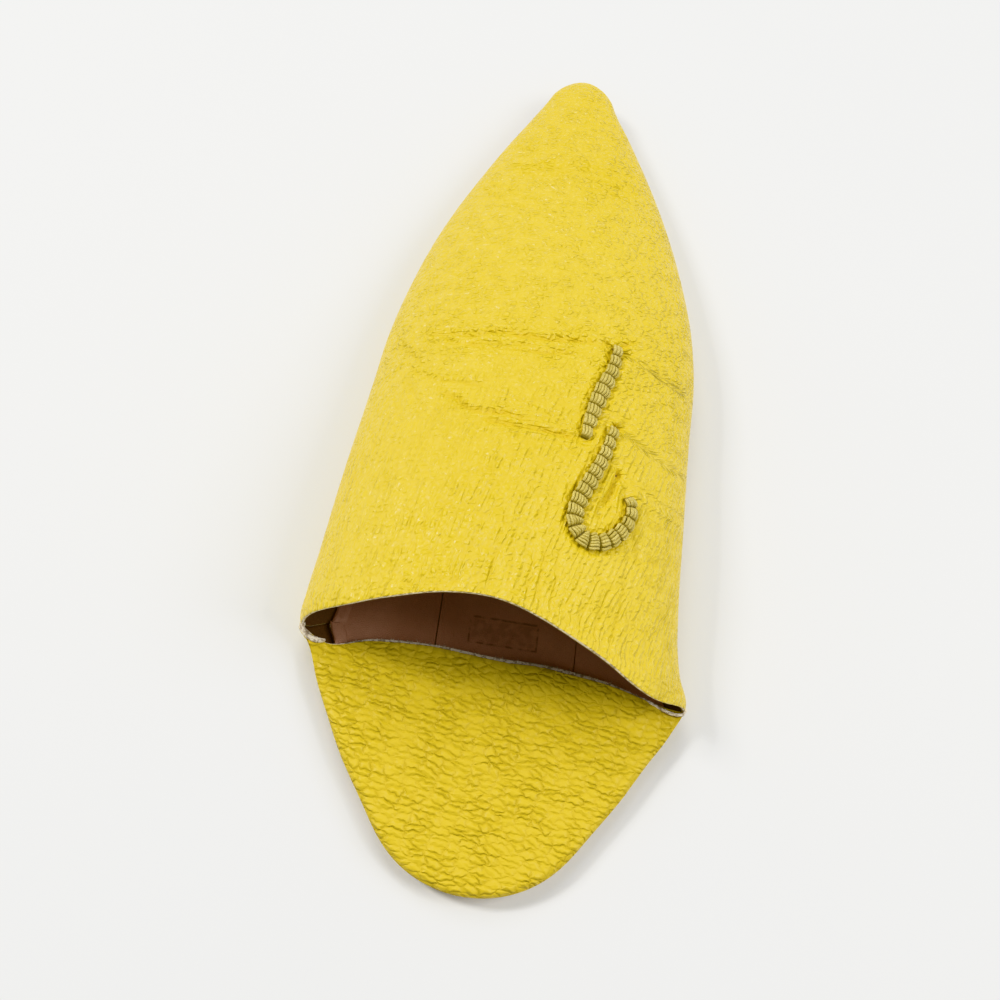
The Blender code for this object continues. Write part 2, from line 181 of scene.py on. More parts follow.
# Creases of one kind. deep, wide: millimetres; first, last: shares of the depth at a crease's two ends;
# paths: a crease a line, each place as thousandths along and hundredths of turn
Creases = namedtuple("Creases", "deep wide first last paths")
CREASES = (
    Creases(0.62, 0.95, 0.5, 1.0, """
        557,-59 549,-49 547,-36 545,-28 552,-18 554,-12 552,-6 552,1 555,9 560,16 562,23 562,31"""),
    Creases(0.50, 0.85, 0.8, 0.8, """
        545,-44 537,-35 534,-29 534,-23 536,-17 537,-8 541,-1 547,6
        534,-28 529,-20 531,-14 531,-8 534,-1 534,5 537,10 542,16 550,20"""),
    Creases(0.42, 0.85, 0.6, 0.6, """
        506,-56 493,-46 485,-37 483,-29 480,-20 477,-12"""),
    Creases(0.66, 0.85, 0.6, 1.0, """
        474,-36 467,-31 459,-24 449,-19 446,-14 446,-8 448,-3 444,4 440,10"""),
    Creases(0.72, 0.85, 0.6, 1.0, """
        438,-12 436,-10 435,-4 435,4 436,10 436,15 436,20 436,25 436,27"""),
    Creases(0.22, 0.80, 0.6, 0.8, """
        464,-4 464,4 459,12 449,18 443,21"""),
    Creases(0.20, 1.10, 1.0, 0.6, """
        547,-67 532,-61 518,-53 505,-45 500,-39
        493,-55 482,-51 464,-45 449,-40 438,-36"""),
    Creases(0.20, 0.75, 1.0, 0.6, """
        865,-75 862,-62 855,-47 851,-34 849,-26
        823,-54 825,-45 823,-36 828,-27 833,-21 838,-14
        815,-54 816,-36 818,-26 823,-17 826,-10 838,1
        806,-44 808,-35 806,-21 810,-14 825,-4
        838,1 836,16 839,33 841,48 841,58
        826,-2 829,14 825,25 823,42 821,55
        820,7 816,12 813,25 813,43 813,54
        803,-70 789,-56 780,-42 766,-32 761,-24
        790,-68 771,-52 758,-39 749,-27 746,-20
        797,8 798,18 797,31 795,47"""),
    Creases(0.30, 0.90, 0.5, 1.0, """
        275,-34 263,-29 255,-25 250,-21 244,-17
        291,-32 280,-28 270,-25 262,-21 250,-16 244,-14
        333,-30 309,-28 286,-24 272,-20 263,-18
        299,-17 288,-17 273,-14 265,-12 254,-10
        263,-18 258,-15 252,-12 245,-10
        320,-16 298,-12 276,-8 262,-6 250,-4
        330,-24 309,-23 289,-20 267,-16 255,-13
        342,-20 320,-18 298,-15 280,-11 262,-9"""),
    Creases(0.24, 0.80, 0.5, 1.0, """
        364,6 355,6 330,8 306,8 276,8 263,8 252,8
        359,17 343,18 322,18 291,20 262,20 252,20
        374,20 346,21 322,22 289,23 262,23 247,23
        327,28 301,27 270,28 247,27
        304,36 284,34 267,33 254,31
        307,42 281,39 255,37 234,35
        301,46 278,44 252,42 229,40
        299,50 275,50 249,48 226,45
        324,12 299,13 273,14 254,14"""),
    Creases(0.35, 1.60, 0.8, 0.5, """
        378,50 363,52 343,53 330,54 317,57"""),
    Creases(0.16, 1.30, 1.0, 0.5, """
        381,52 379,57 384,70 391,81
        369,55 369,63 373,74 376,87
        337,55 332,61 333,70 340,85
        316,56 307,64 309,75 319,94
        294,56 281,62 278,71 284,87"""),
    Creases(0.30, 0.80, 0.7, 1.0, """
        211,63 214,67 226,81 234,92
        206,61 208,65 221,81 229,93
        200,64 203,68 213,76 219,84"""),
    Creases(0.50, 0.90, 1.6, 0.3, """
        564,32 575,37 585,41
        564,32 562,37 565,41
        564,32 567,29 565,25"""),
    Creases(0.40, 0.80, 1.6, 0.3, """
        464,37 470,40 485,43
        464,37 470,42 477,46
        462,37 464,41 467,46"""),
    Creases(0.45, 1.00, 1.2, 0.6, """
        412,42 399,41 382,40 364,38"""),
    Creases(0.40, 0.90, 1.0, 0.7, """
        405,42 387,40 361,37 348,38"""),
    Creases(0.45, 0.80, 1.2, 0.5, """
        410,42 397,45 391,46"""),
    Creases(0.40, 0.70, 1.0, 0.5, """
        410,44 397,47"""),
    Creases(0.35, 0.80, 0.6, 1.0, """
        421,40 410,42"""),
)

# Rows and columns of the fine surfaces, and where along the shoe the vamp's columns lie evenly apart
VAMP_ROWS = 301
VAMP_COLUMNS = 225
EVEN_AT = 0.4
NOSE_ROWS = 24
UNDER_COLUMNS = 8
QUARTER_COLUMNS = 441
ROLL_ROWS = 12
FLAP_ROWS = 150
THREAD_RINGS = 11
THREAD_SIDES = 8
# The inner skins hold every so many rows and columns
COARSE = 4

# The points of the throat's rounded lip: how far back and down each lies, as shares of EDGE_WALL
LIP = ((0.0, 0.62), (-0.04, 0.3), (0.03, 0.1), (0.14, 0.0))
EDGE_WALL = 0.00105
# Those of the flap's raw edge: back as a share of the raw band's width, down as a share of FLAP_WALL
FLAP_LIP = ((1.0, 0.0), (0.92, 0.05), (0.16, 0.12), (0.04, 0.2), (0.0, 0.7))
FLAP_WALL = 0.0013
FLAP_HEIGHT = OUTSOLE_THICKNESS + INSOLE_THICKNESS + UPPER_WALL + 3 * GAP

# How far a crease or a bar is felt at all, the width of the broad trough round a crease, how far the fine
# lines across one reach, a factor on every crease's depth, and the depth of full painted shade in a crease
REACH = 0.013
BROAD = 0.0042
WRINKLE_REACH = 0.0036
CREASE_DEPTH = 1.4
DARK_DEPTH = 0.7 * MM

# The vamp sinks under a bar and swells at this distance beside it, read from so many places along it
BAR_SINK = 0.55 * MM
BAR_SWELL = 0.24 * MM
SWELL_AWAY = 2.2 * MM
BAR_PLACES = 41

# How far from the throat or the raw edge the leather thins to its cut edge, and the height of the flap's
# slow waves
THROAT_THINNING = 9 * MM
RAW_THINNING = 6 * MM
FLAP_WAVES = 0.1 * MM
# How many sines make up a random field, and how far the torn leather reaches from a corner of the flap
WAVES = 9
TORN_FROM = 3.2 * MM
TORN_TO = 5.0 * MM

# Up to where the vamp's grain is drawn out lengthwise, and from where it is round
DRAWN_UPTO = 0.118
ROUND_FROM = 0.18
# Where that grain starts to fan, how far it leans outwards and how fast it spreads, a metre to the toe
FAN_START = 0.07
FAN_LEAN = 0.16
FAN_SPREAD = 2.5

# The flap's pebbles: millimetres, degrees, and a factor on how close they lie
PEBBLE_LONG = 4.4
PEBBLE_WIDE = 2.05
PEBBLE_LEAN = -9.0
FLAP_GRAIN = 1.07

# The pinched folds at the throat's corners: places in millimetres across, along and up, and their height
INNER_FOLD = (
    (-59.5, 66.6, 10.4), (-59.9, 65.3, 9.9), (-59.2, 64.1, 9.4), (-58.0, 63.1, 9.0), (-56.3, 62.5, 8.6),
    (-54.5, 62.4, 8.2), (-52.6, 62.8, 7.7),
)
OUTER_FOLD = (
    (50.6, 59.8, 9.4), (51.6, 59.2, 9.3), (52.1, 58.2, 9.1), (51.5, 57.2, 9.0), (50.1, 56.8, 8.8),
    (48.0, 57.0, 8.6), (45.6, 57.8, 8.2), (42.5, 59.2, 7.7), (39.5, 60.5, 7.2),
)
FOLD_HEIGHT = 2.4

# The insole margin's section: millimetres in from the upper's lower edge, and up from its underside
MARGIN = ((0.15, 0.0), (0.15, 2.1), (1.0, 2.0), (2.6, 1.75), (4.0, 1.55), (4.0, 0.0), (0.15, 0.0))

MARGIN_ROWS = 180
FOLD_RINGS = 90
FOLD_SIDES = 16
FIBRE_RINGS = 5
FOLD_FIBRES = 90
EDGE_FIBRES = 420

# The starts of the random draws
THREAD_SEED = 7
FIBRE_SEED = 11

# The viewpoint, from the outline traced in the photo: metres, degrees, and the lens in millimetres
CAMERA_PLACE = (-0.02604, -0.1648, 0.3136)
CAMERA_HEADING = (-0.187, 0.982)
CAMERA_DOWN = 63.5
CAMERA_TURN = 8.0
CAMERA_DIP = 3.3
CAMERA_LENS = 39.6
FLOOR_HALF = 2.5
LIGHT_AIM = (0, 0, 0.02)

# The worn rectangle on the insole: its middle and half its sides
MARK_X = 0.0019
MARK_Y = -0.0684
MARK_HALF_X = 0.0100
MARK_HALF_Y = 0.0039

# The step over which slopes are read, how many places the width is tried at, and how close two points
# count as one
SLOPE_STEP = 1e-4
TRIES = 500
WELD = 1e-6


def hermite(knots, values, slopes, at):
    """A cubic Hermite curve at the given places, from its values and slopes at the knots."""
    row = np.clip(np.searchsorted(knots, at, side="right") - 1, 0, len(knots) - 2)
    step = knots[row + 1] - knots[row]
    u = (at - knots[row]) / step
    if values.ndim > 1:
        step, u = step[:, None], u[:, None]
    start = values[row] * (1 + 2 * u) * (1 - u) ** 2 + slopes[row] * step * u * (1 - u) ** 2
    end = values[row + 1] * u**2 * (3 - 2 * u) - slopes[row + 1] * step * u**2 * (1 - u)
    return start + end


def smooth(table, name, at, key="along"):
    """A Hermite curve through a column, with each row's slope read from its neighbours."""
    knots, values = table[key], table[name]
    return hermite(knots, values, np.gradient(values, knots), np.clip(at, knots[0], knots[-1]))


def quarter_round(distance, radius):
    """Height of a quarter circle of unit height that starts at distance 0 and is level from radius on."""
    return np.sqrt(1 - (1 - np.clip(distance / radius, 0, 1)) ** 2)


def lift(along):
    """Height of the outsole's underside over the floor: a low arch at the waist and a spring at the toe."""
    waist = np.clip((along - HEEL_FLAT_END) / (BALL_FLAT_START - HEEL_FLAT_END), 0, 1)
    toe = np.clip((along - SPRING_START) / (1 - SPRING_START), 0, 1)
    return ARCH_RISE * np.sin(np.pi * waist) ** 2 + TOE_SPRING * toe**2


def outline(along, side):
    """The widest line in plan, as x, y and its inward direction; side is -1 inside and 1 outside.

    The table's reach is drawn in to a circle's arc at the heel and at the toe. The tangent is scaled
    by the arc's height, so that it stays finite at the tips.
    """
    along = np.asarray(along, float)
    name = "inner" if side < 0 else "outer"
    reach = smooth(PLAN, name, along) * HALF_BALL
    slope = smooth(PLAN, name, along + SLOPE_STEP) - smooth(PLAN, name, along - SLOPE_STEP)
    slope = slope * HALF_BALL / (2 * SLOPE_STEP * LENGTH)
    at_heel = along < 0.5
    tip = np.where(at_heel, HEEL_TIP_ACROSS, TOE_TIP_ACROSS) * HALF_BALL * side
    radius = np.where(at_heel, HEEL_ROUND, TOE_ROUND)
    from_tip = np.where(at_heel, along, 1 - along) * LENGTH
    height = quarter_round(from_tip, radius)
    growth = np.where(at_heel, 1, -1) * (1 - np.clip(from_tip / radius, 0, 1)) / radius
    x = tip + (reach - tip) * height
    across = slope * height**2 + (reach - tip) * growth
    size = np.hypot(across, height)
    inward = np.stack([-side * height / size, across / size], axis=-1)
    return x * side, along * LENGTH, inward


def inset(along, side, distance):
    """Points of the line that lies the distance inside the widest line, in plan."""
    x, y, inward = outline(along, side)
    return x + distance * inward[..., 0], y + distance * inward[..., 1]


def seam_inset(along, side):
    """How far the upper's lower edge lies inside the widest line: a ledge inside the outsole's edge."""
    name = "inner_inset" if side < 0 else "outer_inset"
    return np.maximum(smooth(PLAN, name, along) * SIDE_BULGE, 0) + SEAM_LEDGE


def bulge_height(along):
    """Height of the widest line over the floor."""
    return lift(along) + OUTSOLE_THICKNESS + smooth(PLAN, "bulge", along) * BULGE_HEIGHT


def seam_height(along):
    """Height of the upper's lower edge, just over the outsole."""
    return lift(along) + OUTSOLE_THICKNESS + GAP


def arch(along, turn):
    """The vamp over its widest line. Turn runs from -1 at the inner side over the ridge to 1 outside.

    Each half section is a superellipse from the ridge down to the widest line.
    """
    side = np.where(turn < 0, -1, 1)
    inner_x, outer_x = outline(along, -1)[0], outline(along, 1)[0]
    edge_x = np.where(side < 0, inner_x, outer_x)
    middle = (inner_x + outer_x) / 2
    ridge = middle + smooth(VAMP, "ridge", along) * (outer_x - inner_x) / 2
    inner_power, outer_power = smooth(VAMP, "inner_power", along), smooth(VAMP, "outer_power", along)
    power = np.where(side < 0, inner_power, outer_power)
    angle = np.clip(1 - np.abs(turn), 0, 1) * np.pi / 2
    low = bulge_height(along)
    top = lift(along) + smooth(VAMP, "top", along) * INSTEP_HEIGHT
    nose = quarter_round((1 - along) * LENGTH, NOSE_DEPTH)
    x = ridge + (edge_x - ridge) * np.abs(np.cos(angle)) ** (2 / power)
    z = low + (top - low) * nose * np.sin(angle) ** (2 / power)
    return np.stack([x, along * LENGTH, z], axis=-1)


def turned_under(along, side, depth):
    """The upper below its widest line: a quarter ellipse from it, at depth 0, in to its lower edge at 1."""
    angle = depth * np.pi / 2
    x, y = inset(along, side, seam_inset(along, side) * (1 - np.cos(angle)))
    z = bulge_height(along) + (seam_height(along) - bulge_height(along)) * np.sin(angle)
    return np.stack([x, y, z], axis=-1)


def edge_along(table, across):
    """Where the throat or the raw edge lies along the shoe, at a place across."""
    inner, outer = table["across"][[0, -1]]
    line = INNER_CORNER + (OUTER_CORNER - INNER_CORNER) * (across - inner) / (outer - inner)
    return line + smooth(table, "rise", across, key="across")


def grid_faces(rows, columns, first=0, flip=False):
    """Quads between neighbouring rows and columns of a grid of points, counted from the first."""
    corner = first + np.arange((rows - 1) * columns).reshape(rows - 1, columns)[:, :-1].ravel()
    quads = np.stack([corner, corner + 1, corner + columns + 1, corner + columns], axis=-1)
    return quads[:, ::-1] if flip else quads


def centre_shift():
    """How far the shoe's axis lies from the middle between its two sides."""
    along = np.linspace(0, 1, TRIES)
    inner, outer = outline(along, -1)[0].min(), outline(along, 1)[0].max()
    return np.array([-(inner + outer) / 2, -LENGTH / 2, 0])


SHIFT = centre_shift()


def soft_step(low, high, at):
    """Rises from 0 at low to 1 at high, level at both."""
    share = np.clip((at - low) / (high - low), 0, 1)
    return share * share * (3 - 2 * share)


def lengths(path):
    """Distance travelled along a row of points, starting at 0."""
    steps = np.linalg.norm(np.diff(path, axis=0), axis=1)
    return np.concatenate([[0], np.cumsum(steps)])


def unit(vectors, least=0.0):
    """Each of a row of vectors, divided by its length, or by the least length where that is more."""
    return vectors / np.maximum(np.linalg.norm(vectors, axis=1), least)[:, None]


def from_ends(count):
    """How many places each place of a row lies from the nearer end."""
    return np.minimum(np.arange(count), np.arange(count)[::-1])


def normals_of(grid):
    """Unit normals of a grid of points: the sum of the faces round each, doubled points counted as one."""
    points, quads = grid.reshape(-1, 3), grid_faces(*grid.shape[:2])
    same = np.unique(np.round(points / WELD).astype(np.int64), axis=0, return_inverse=True)[1].ravel()
    a, b, c, d = points[quads].transpose(1, 0, 2)
    face = np.cross(c - a, d - b)
    total = np.zeros((same.max() + 1, 3))
    for place in range(4):
        np.add.at(total, same[quads[:, place]], face)
    return unit(total, 1e-20)[same].reshape(grid.shape)


def waves(u, v, seed):
    """A smooth random field between about -1 and 1: sines in set directions, each bent by the last."""
    total = np.zeros(np.broadcast(u, v).shape)
    for step in range(WAVES):
        turn = seed * 1.7 + step * 2.4
        pace = 1.55 ** step
        total += np.sin(pace * (u * np.cos(turn) + v * np.sin(turn)) + turn * 5 + total) / (1 + 0.45 * step)
    return total / 2.2


def distance_to(points, path):
    """From each point the distance to a path of straight pieces, and the share of the path gone there."""
    start, step = path[:-1], np.diff(path, axis=0)
    travelled = lengths(path)
    nearest = np.full(len(points), 9.0)
    share = np.zeros(len(points))
    low, high = path.min(axis=0) - REACH, path.max(axis=0) + REACH
    close = np.where(((points > low) & (points < high)).all(axis=1))[0]
    some = points[close]
    for place in range(len(step)):
        size = step[place] @ step[place]
        along = np.clip((some - start[place]) @ step[place] / size, 0, 1)
        away = np.linalg.norm(some - start[place] - along[:, None] * step[place], axis=1)
        closer = away < nearest[close]
        index = close[closer]
        nearest[index] = away[closer]
        share[index] = (travelled[place] + along[closer] * np.sqrt(size)) / travelled[-1]
    return nearest, share


def curve_through(rows, count):
    """A Hermite curve through rows of values, over the distance between them."""
    rows = np.asarray(rows, float)
    knots = lengths(rows)
    return hermite(knots, rows, np.gradient(rows, knots, axis=0), np.linspace(0, knots[-1], count))


def bell(distance, middle, width):
    """A bell curve of height 1: e to minus the square of the distance from its middle over its width."""
    return np.exp(-(((distance - middle) / width) ** 2))


def crease_relief(points):
    """Height that the listed creases add at the points, the painted shade they lay there (darker in each
    valley, a little paler on its ridges), and how close one that crosses the vamp lies: each is a narrow
    soft valley with a low ridge on both sides, in a broader and shallower trough."""
    relief, dark, crossed = np.zeros((3, len(points)))
    for kind in CREASES:
        wide = kind.wide * MM
        for line in kind.paths.split("\n")[1:]:
            places = np.array([[int(n) for n in pair.split(",")] for pair in line.split()]) / (1000, 100)
            places = curve_through(places * (3, 1), 5 * len(places)) / (3, 1)
            away, share = distance_to(points, arch(places[:, 0], places[:, 1]))
            ends = soft_step(0, 0.16, share) * soft_step(0, 0.16, 1 - share)
            if kind.first > 1:  # starts at full depth
                ends = soft_step(0, 0.3, 1 - share)
            deep = CREASE_DEPTH * kind.deep * MM * ends * (kind.first + (kind.last - kind.first) * share)
            ridge = bell(away, 1.9 * wide, 0.9 * wide)
            relief += deep * (0.5 * ridge - bell(away, 0, wide))
            # Painted shade: darker along each crease's valley, a little paler on its ridges
            dark += deep / DARK_DEPTH * (bell(away, 0, 0.7 * wide) - 0.45 * ridge)
            relief -= 0.36 * deep * (bell(away, 0, BROAD) - 0.5 * bell(away, 1.9 * BROAD, BROAD))
            if np.ptp(places[:, 1]) > 4 * np.ptp(places[:, 0]):
                near = np.minimum(deep / DARK_DEPTH, 1) * bell(away, 0, WRINKLE_REACH)
                crossed = np.maximum(crossed, near)
    return relief, dark, crossed


def bar_path(table, count):
    """Middle line on the vamp, sideways and normal directions, and width share, of an embroidered bar."""
    part = np.linspace(0, 1, count)
    along, turn, width = (smooth(table, name, part, key="part") for name in ("along", "turn", "width"))
    path = arch(along, turn)
    normal = unit(np.cross(arch(along, turn + SLOPE_STEP) - path, arch(along + SLOPE_STEP, turn) - path))
    across = unit(np.cross(np.gradient(path, axis=0), normal))
    return path, across, normal, width


def thread_relief(points):
    """The vamp is drawn in under the embroidered bars and swells a little beside them."""
    relief = np.zeros(len(points))
    for table in (STROKE, HOOK):
        path, _, _, width = bar_path(table, BAR_PLACES)
        away, share = distance_to(points, path)
        beside = away - THREAD_WIDTH / 2 * np.interp(share, np.linspace(0, 1, BAR_PLACES), width)
        sink = BAR_SINK * (1 - soft_step(-0.6 * MM, SWELL_AWAY, beside))
        relief += BAR_SWELL * bell(beside, SWELL_AWAY, SWELL_AWAY / 2) - sink
    return relief


def even_turns(count):
    """Places round the vamp's section that lie evenly apart at one place along the shoe."""
    dense = np.linspace(-1, 1, 2001)
    travelled = lengths(arch(np.full_like(dense, EVEN_AT), dense))
    return np.interp(np.linspace(0, travelled[-1], count), travelled, dense)


def vamp_grid():
    """The vamp: rows from the throat to the toe, columns from seam to seam over the ridge."""
    turns = even_turns(VAMP_COLUMNS)
    across = arch(np.full_like(turns, (INNER_CORNER + OUTER_CORNER) / 2), turns)[:, 0] / HALF_BALL
    throat = edge_along(THROAT, across)
    throat[0], throat[-1] = INNER_CORNER, OUTER_CORNER
    nose_start = 1 - NOSE_DEPTH / LENGTH
    forward = np.linspace(0, 1, VAMP_ROWS - NOSE_ROWS)[:, None]
    body = throat + (nose_start - throat) * forward
    round_off = np.sin(np.linspace(0, np.pi / 2, NOSE_ROWS + 1))[1:, None]
    along = np.vstack([body, nose_start + (1 - nose_start) * round_off + 0 * throat])
    over = arch(along, turns + 0 * along)
    depths = np.linspace(0, 1, UNDER_COLUMNS + 1)[1:]
    inside = turned_under(along[:, :1], -1, depths[::-1])
    outside = turned_under(along[:, -1:], 1, depths)
    return np.concatenate([inside, over, outside], axis=1)


def quarter_grid():
    """The folded quarter: columns round the heel from corner to corner, rows from the lower edge over
    the rolled fold to the raw edge. Columns lie evenly apart in plan along the widest line."""

    def places(swing):
        corner = np.where(swing < 0, INNER_CORNER, OUTER_CORNER)
        return (1 - np.cos(swing)) * corner, np.where(swing < 0, -1, 1), corner

    swing = np.linspace(-np.pi / 2, np.pi / 2, 4001)
    along, side, _ = places(swing)
    inner_x, y = outline(along, -1)[:2]
    plan = np.stack([np.where(side < 0, inner_x, outline(along, 1)[0]), y], axis=-1)
    travelled = lengths(plan)
    along, side, corner = places(
        np.interp(np.linspace(0, travelled[-1], QUARTER_COLUMNS), travelled, swing))
    depths = np.linspace(1, 0, UNDER_COLUMNS + 1)
    rolls = np.linspace(0, np.pi / 2, ROLL_ROWS + 1)[1:]
    forward = np.linspace(0, 1, FLAP_ROWS + 1)[1:, None]
    columns = []
    for at, way, end in zip(along, side, corner):
        under = turned_under(at, way, depths)
        width = FOLD_ROLL * min(1, (1 - at / end) / ROLL_TAPER)
        rx, ry = inset(at, way, width * (1 - np.cos(rolls)))
        low = bulge_height(at)
        z = low + (FLAP_HEIGHT - low) * np.sin(rolls) * (width / FOLD_ROLL)
        roll = np.stack([rx, ry, z], axis=-1)
        raw_y = edge_along(RAW_EDGE, rx[-1] / HALF_BALL) * LENGTH
        last = np.array([rx[-1], max(raw_y, ry[-1]), z[-1]])
        columns.append(np.concatenate([under, roll, roll[-1] + (last - roll[-1]) * forward]))
    return np.stack(columns, axis=1)


def rim_faces(fine, coarse, at):
    """Triangles that join a fine edge to a coarse one; at holds the fine places of the coarse points."""
    owner = np.searchsorted(at, np.arange(len(fine) - 1), side="right") - 1
    fans = np.stack([fine[1:], fine[:-1], coarse[owner]], axis=-1)
    gaps = np.stack([fine[at[1:]], coarse[:-1], coarse[1:]], axis=-1)
    return np.concatenate([fans, gaps])


def some_of(count):
    """Every so many places of a row, with its last one."""
    return np.unique(np.append(np.arange(0, count, COARSE), count - 1))


def closed_sheet(name, outer, inner, raw, crease_shade, flow, finish, **values):
    """A sheet with two skins: a fine outer grid, a coarse inner grid of some rows and columns of the given
    one, and a rim between them. Its skin value tells the share of cut edge, the flesh side, and the painted
    shade of a modelled crease. The further values are 0 on the inner skin."""
    rows, columns = some_of(len(outer)), some_of(outer.shape[1])
    inner, inner_flow = (grid[rows][:, columns].reshape(-1, 3) for grid in (inner, flow))
    fine = np.arange(raw.size).reshape(raw.shape)
    coarse = raw.size + np.arange(len(inner)).reshape(len(rows), len(columns))
    quads = np.concatenate([grid_faces(*fine.shape), grid_faces(*coarse.shape, first=raw.size, flip=True)])
    turned_rows, turned_columns = len(fine) - 1 - rows[::-1], fine.shape[1] - 1 - columns[::-1]
    rims = np.concatenate([
        rim_faces(fine[0], coarse[0], columns),
        rim_faces(fine[:, -1], coarse[:, -1], rows),
        rim_faces(fine[-1, ::-1], coarse[-1, ::-1], turned_columns),
        rim_faces(fine[::-1, 0], coarse[::-1, 0], turned_rows),
    ])
    skin = np.stack([raw, 0 * raw, crease_shade], axis=-1).reshape(-1, 3)
    flesh = np.tile([0.0, 1.0, 0.0], (len(inner), 1))
    return add_piece(
        name, np.concatenate([outer.reshape(-1, 3), inner]), (quads, rims), finish,
        skin=np.concatenate([skin, flesh]),
        **{key: np.append(value, np.zeros(len(inner))) for key, value in values.items()},
        flow=np.concatenate([flow.reshape(-1, 3), inner_flow]),
    )


def add_piece(name, points, faces, finish, outwards=False, **values):
    """A piece from points in the shoe's own frame and arrays of faces, with doubled points made one, and
    its faces turned outwards where asked. Each value is a number or a vector a point, which the material
    reads."""
    mesh = bpy.data.meshes.new(name)
    faces = [face for part in faces for face in part.tolist()]
    mesh.from_pydata((points.reshape(-1, 3) + SHIFT).tolist(), [], faces)
    for key, value in values.items():
        kind = "FLOAT" if value.ndim == 1 else "FLOAT_VECTOR"
        layer = mesh.attributes.new(key, kind, "POINT")
        layer.data.foreach_set("value" if value.ndim == 1 else "vector", value.astype(np.float32).ravel())
    form = bmesh.new()
    form.from_mesh(mesh)
    bmesh.ops.remove_doubles(form, verts=form.verts, dist=WELD)
    if outwards:
        bmesh.ops.recalc_face_normals(form, faces=form.faces)
    form.to_mesh(mesh)
    form.free()
    mesh.materials.append(finish)
    mesh.shade_smooth()
    made = bpy.data.objects.new(name, mesh)
    bpy.context.scene.collection.objects.link(made)
    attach(made, "root")
    return made


def vamp_flow(grid):
    """Flat coordinates of the vamp's leather: u is the distance round the section from the ridge, made to
    fan outwards from the throat, and v the place along the shoe, in metres. The third is how strongly the
    grain is drawn out lengthwise: most beside the throat and the ball, none at the toe."""
    steps = np.linalg.norm(np.diff(grid, axis=1), axis=2)
    gone = np.concatenate([np.zeros((len(grid), 1)), np.cumsum(steps, axis=1)], axis=1)
    middle = grid.shape[1] // 2
    across = gone - gone[:, middle:middle + 1]
    y = grid[..., 1]
    ahead = y - FAN_START
    u = (across - FAN_LEAN * ahead) / (1 + FAN_SPREAD * ahead)
    drawn = 1 - soft_step(DRAWN_UPTO, ROUND_FROM, y + 0.3 * np.abs(across + 0.004))
    return np.stack([u, y, drawn], axis=-1)


def add_vamp(finish):
    """The front of the upper, from the throat's cut edge to the toe."""
    base = vamp_grid()
    normal = normals_of(base)
    size, width = base.shape[:2], base.shape[1]
    crease, *marks = crease_relief(base.reshape(-1, 3))
    relief = (crease + thread_relief(base.reshape(-1, 3))).reshape(size)
    relief = relief * soft_step(0, UNDER_COLUMNS, from_ends(width))
    outer = base + normal * relief[..., None]
    ahead = unit(base[1] - base[0])
    lip = [outer[0] + EDGE_WALL * (back * ahead - down * normal[0]) for back, down in LIP]
    skin = np.concatenate([lip, outer[1:]])
    raw = np.zeros(skin.shape[:2])
    raw[:2] = 1
    raw[2] = 0.6
    from_throat = np.linalg.norm(base - base[:1], axis=2)
    wall = EDGE_WALL + (UPPER_WALL - EDGE_WALL) * soft_step(0, THROAT_THINNING, from_throat)
    inside = base - normal * wall[..., None]
    inside = np.concatenate([np.repeat(inside[:1], len(LIP) - 1, axis=0), inside])
    plain = np.zeros((len(LIP), width))
    # The creases' painted shade, and how close a crossing crease lies
    crease_shade, crossed = (np.concatenate([plain, mark.reshape(size)[1:]]) for mark in marks)
    made = closed_sheet("upper_vamp", skin, inside, raw, crease_shade, vamp_flow(skin), finish, crossed=crossed)
    return made


def flap_flow(grid, upto):
    """Slow waves of the flap, and its flat grain coordinates in metres, read in plan from where the flap
    starts, with the roll and wall unrolled outwards. The pebbles are long, in rows that run outwards and
    back, and the third coordinate, -1, marks them."""
    start = grid[upto]
    outward = unit(grid[upto - 1, :, :2] - start[:, :2], 1e-9)
    plan = grid[..., :2].copy()
    back = np.zeros(grid.shape[1])
    for row in range(upto - 1, -1, -1):
        back = back + np.linalg.norm(grid[row] - grid[row + 1], axis=1)
        plan[row] = start[:, :2] + outward * back[:, None]
    x, y = plan[..., 0] / MM, plan[..., 1] / MM
    lean = np.radians(PEBBLE_LEAN)
    u = x * np.cos(lean) + y * np.sin(lean) + 0.9 * waves(x / 8, y / 8, 2)
    v = -x * np.sin(lean) + y * np.cos(lean) + 0.8 * waves(x / 9, y / 9, 5)
    turned = np.stack([u * PEBBLE_WIDE / PEBBLE_LONG * MM, v * MM], axis=-1) * FLAP_GRAIN
    return waves(x / 19, y / 19, 3), np.concatenate([turned, np.full_like(u, -1.0)[..., None]], axis=-1)


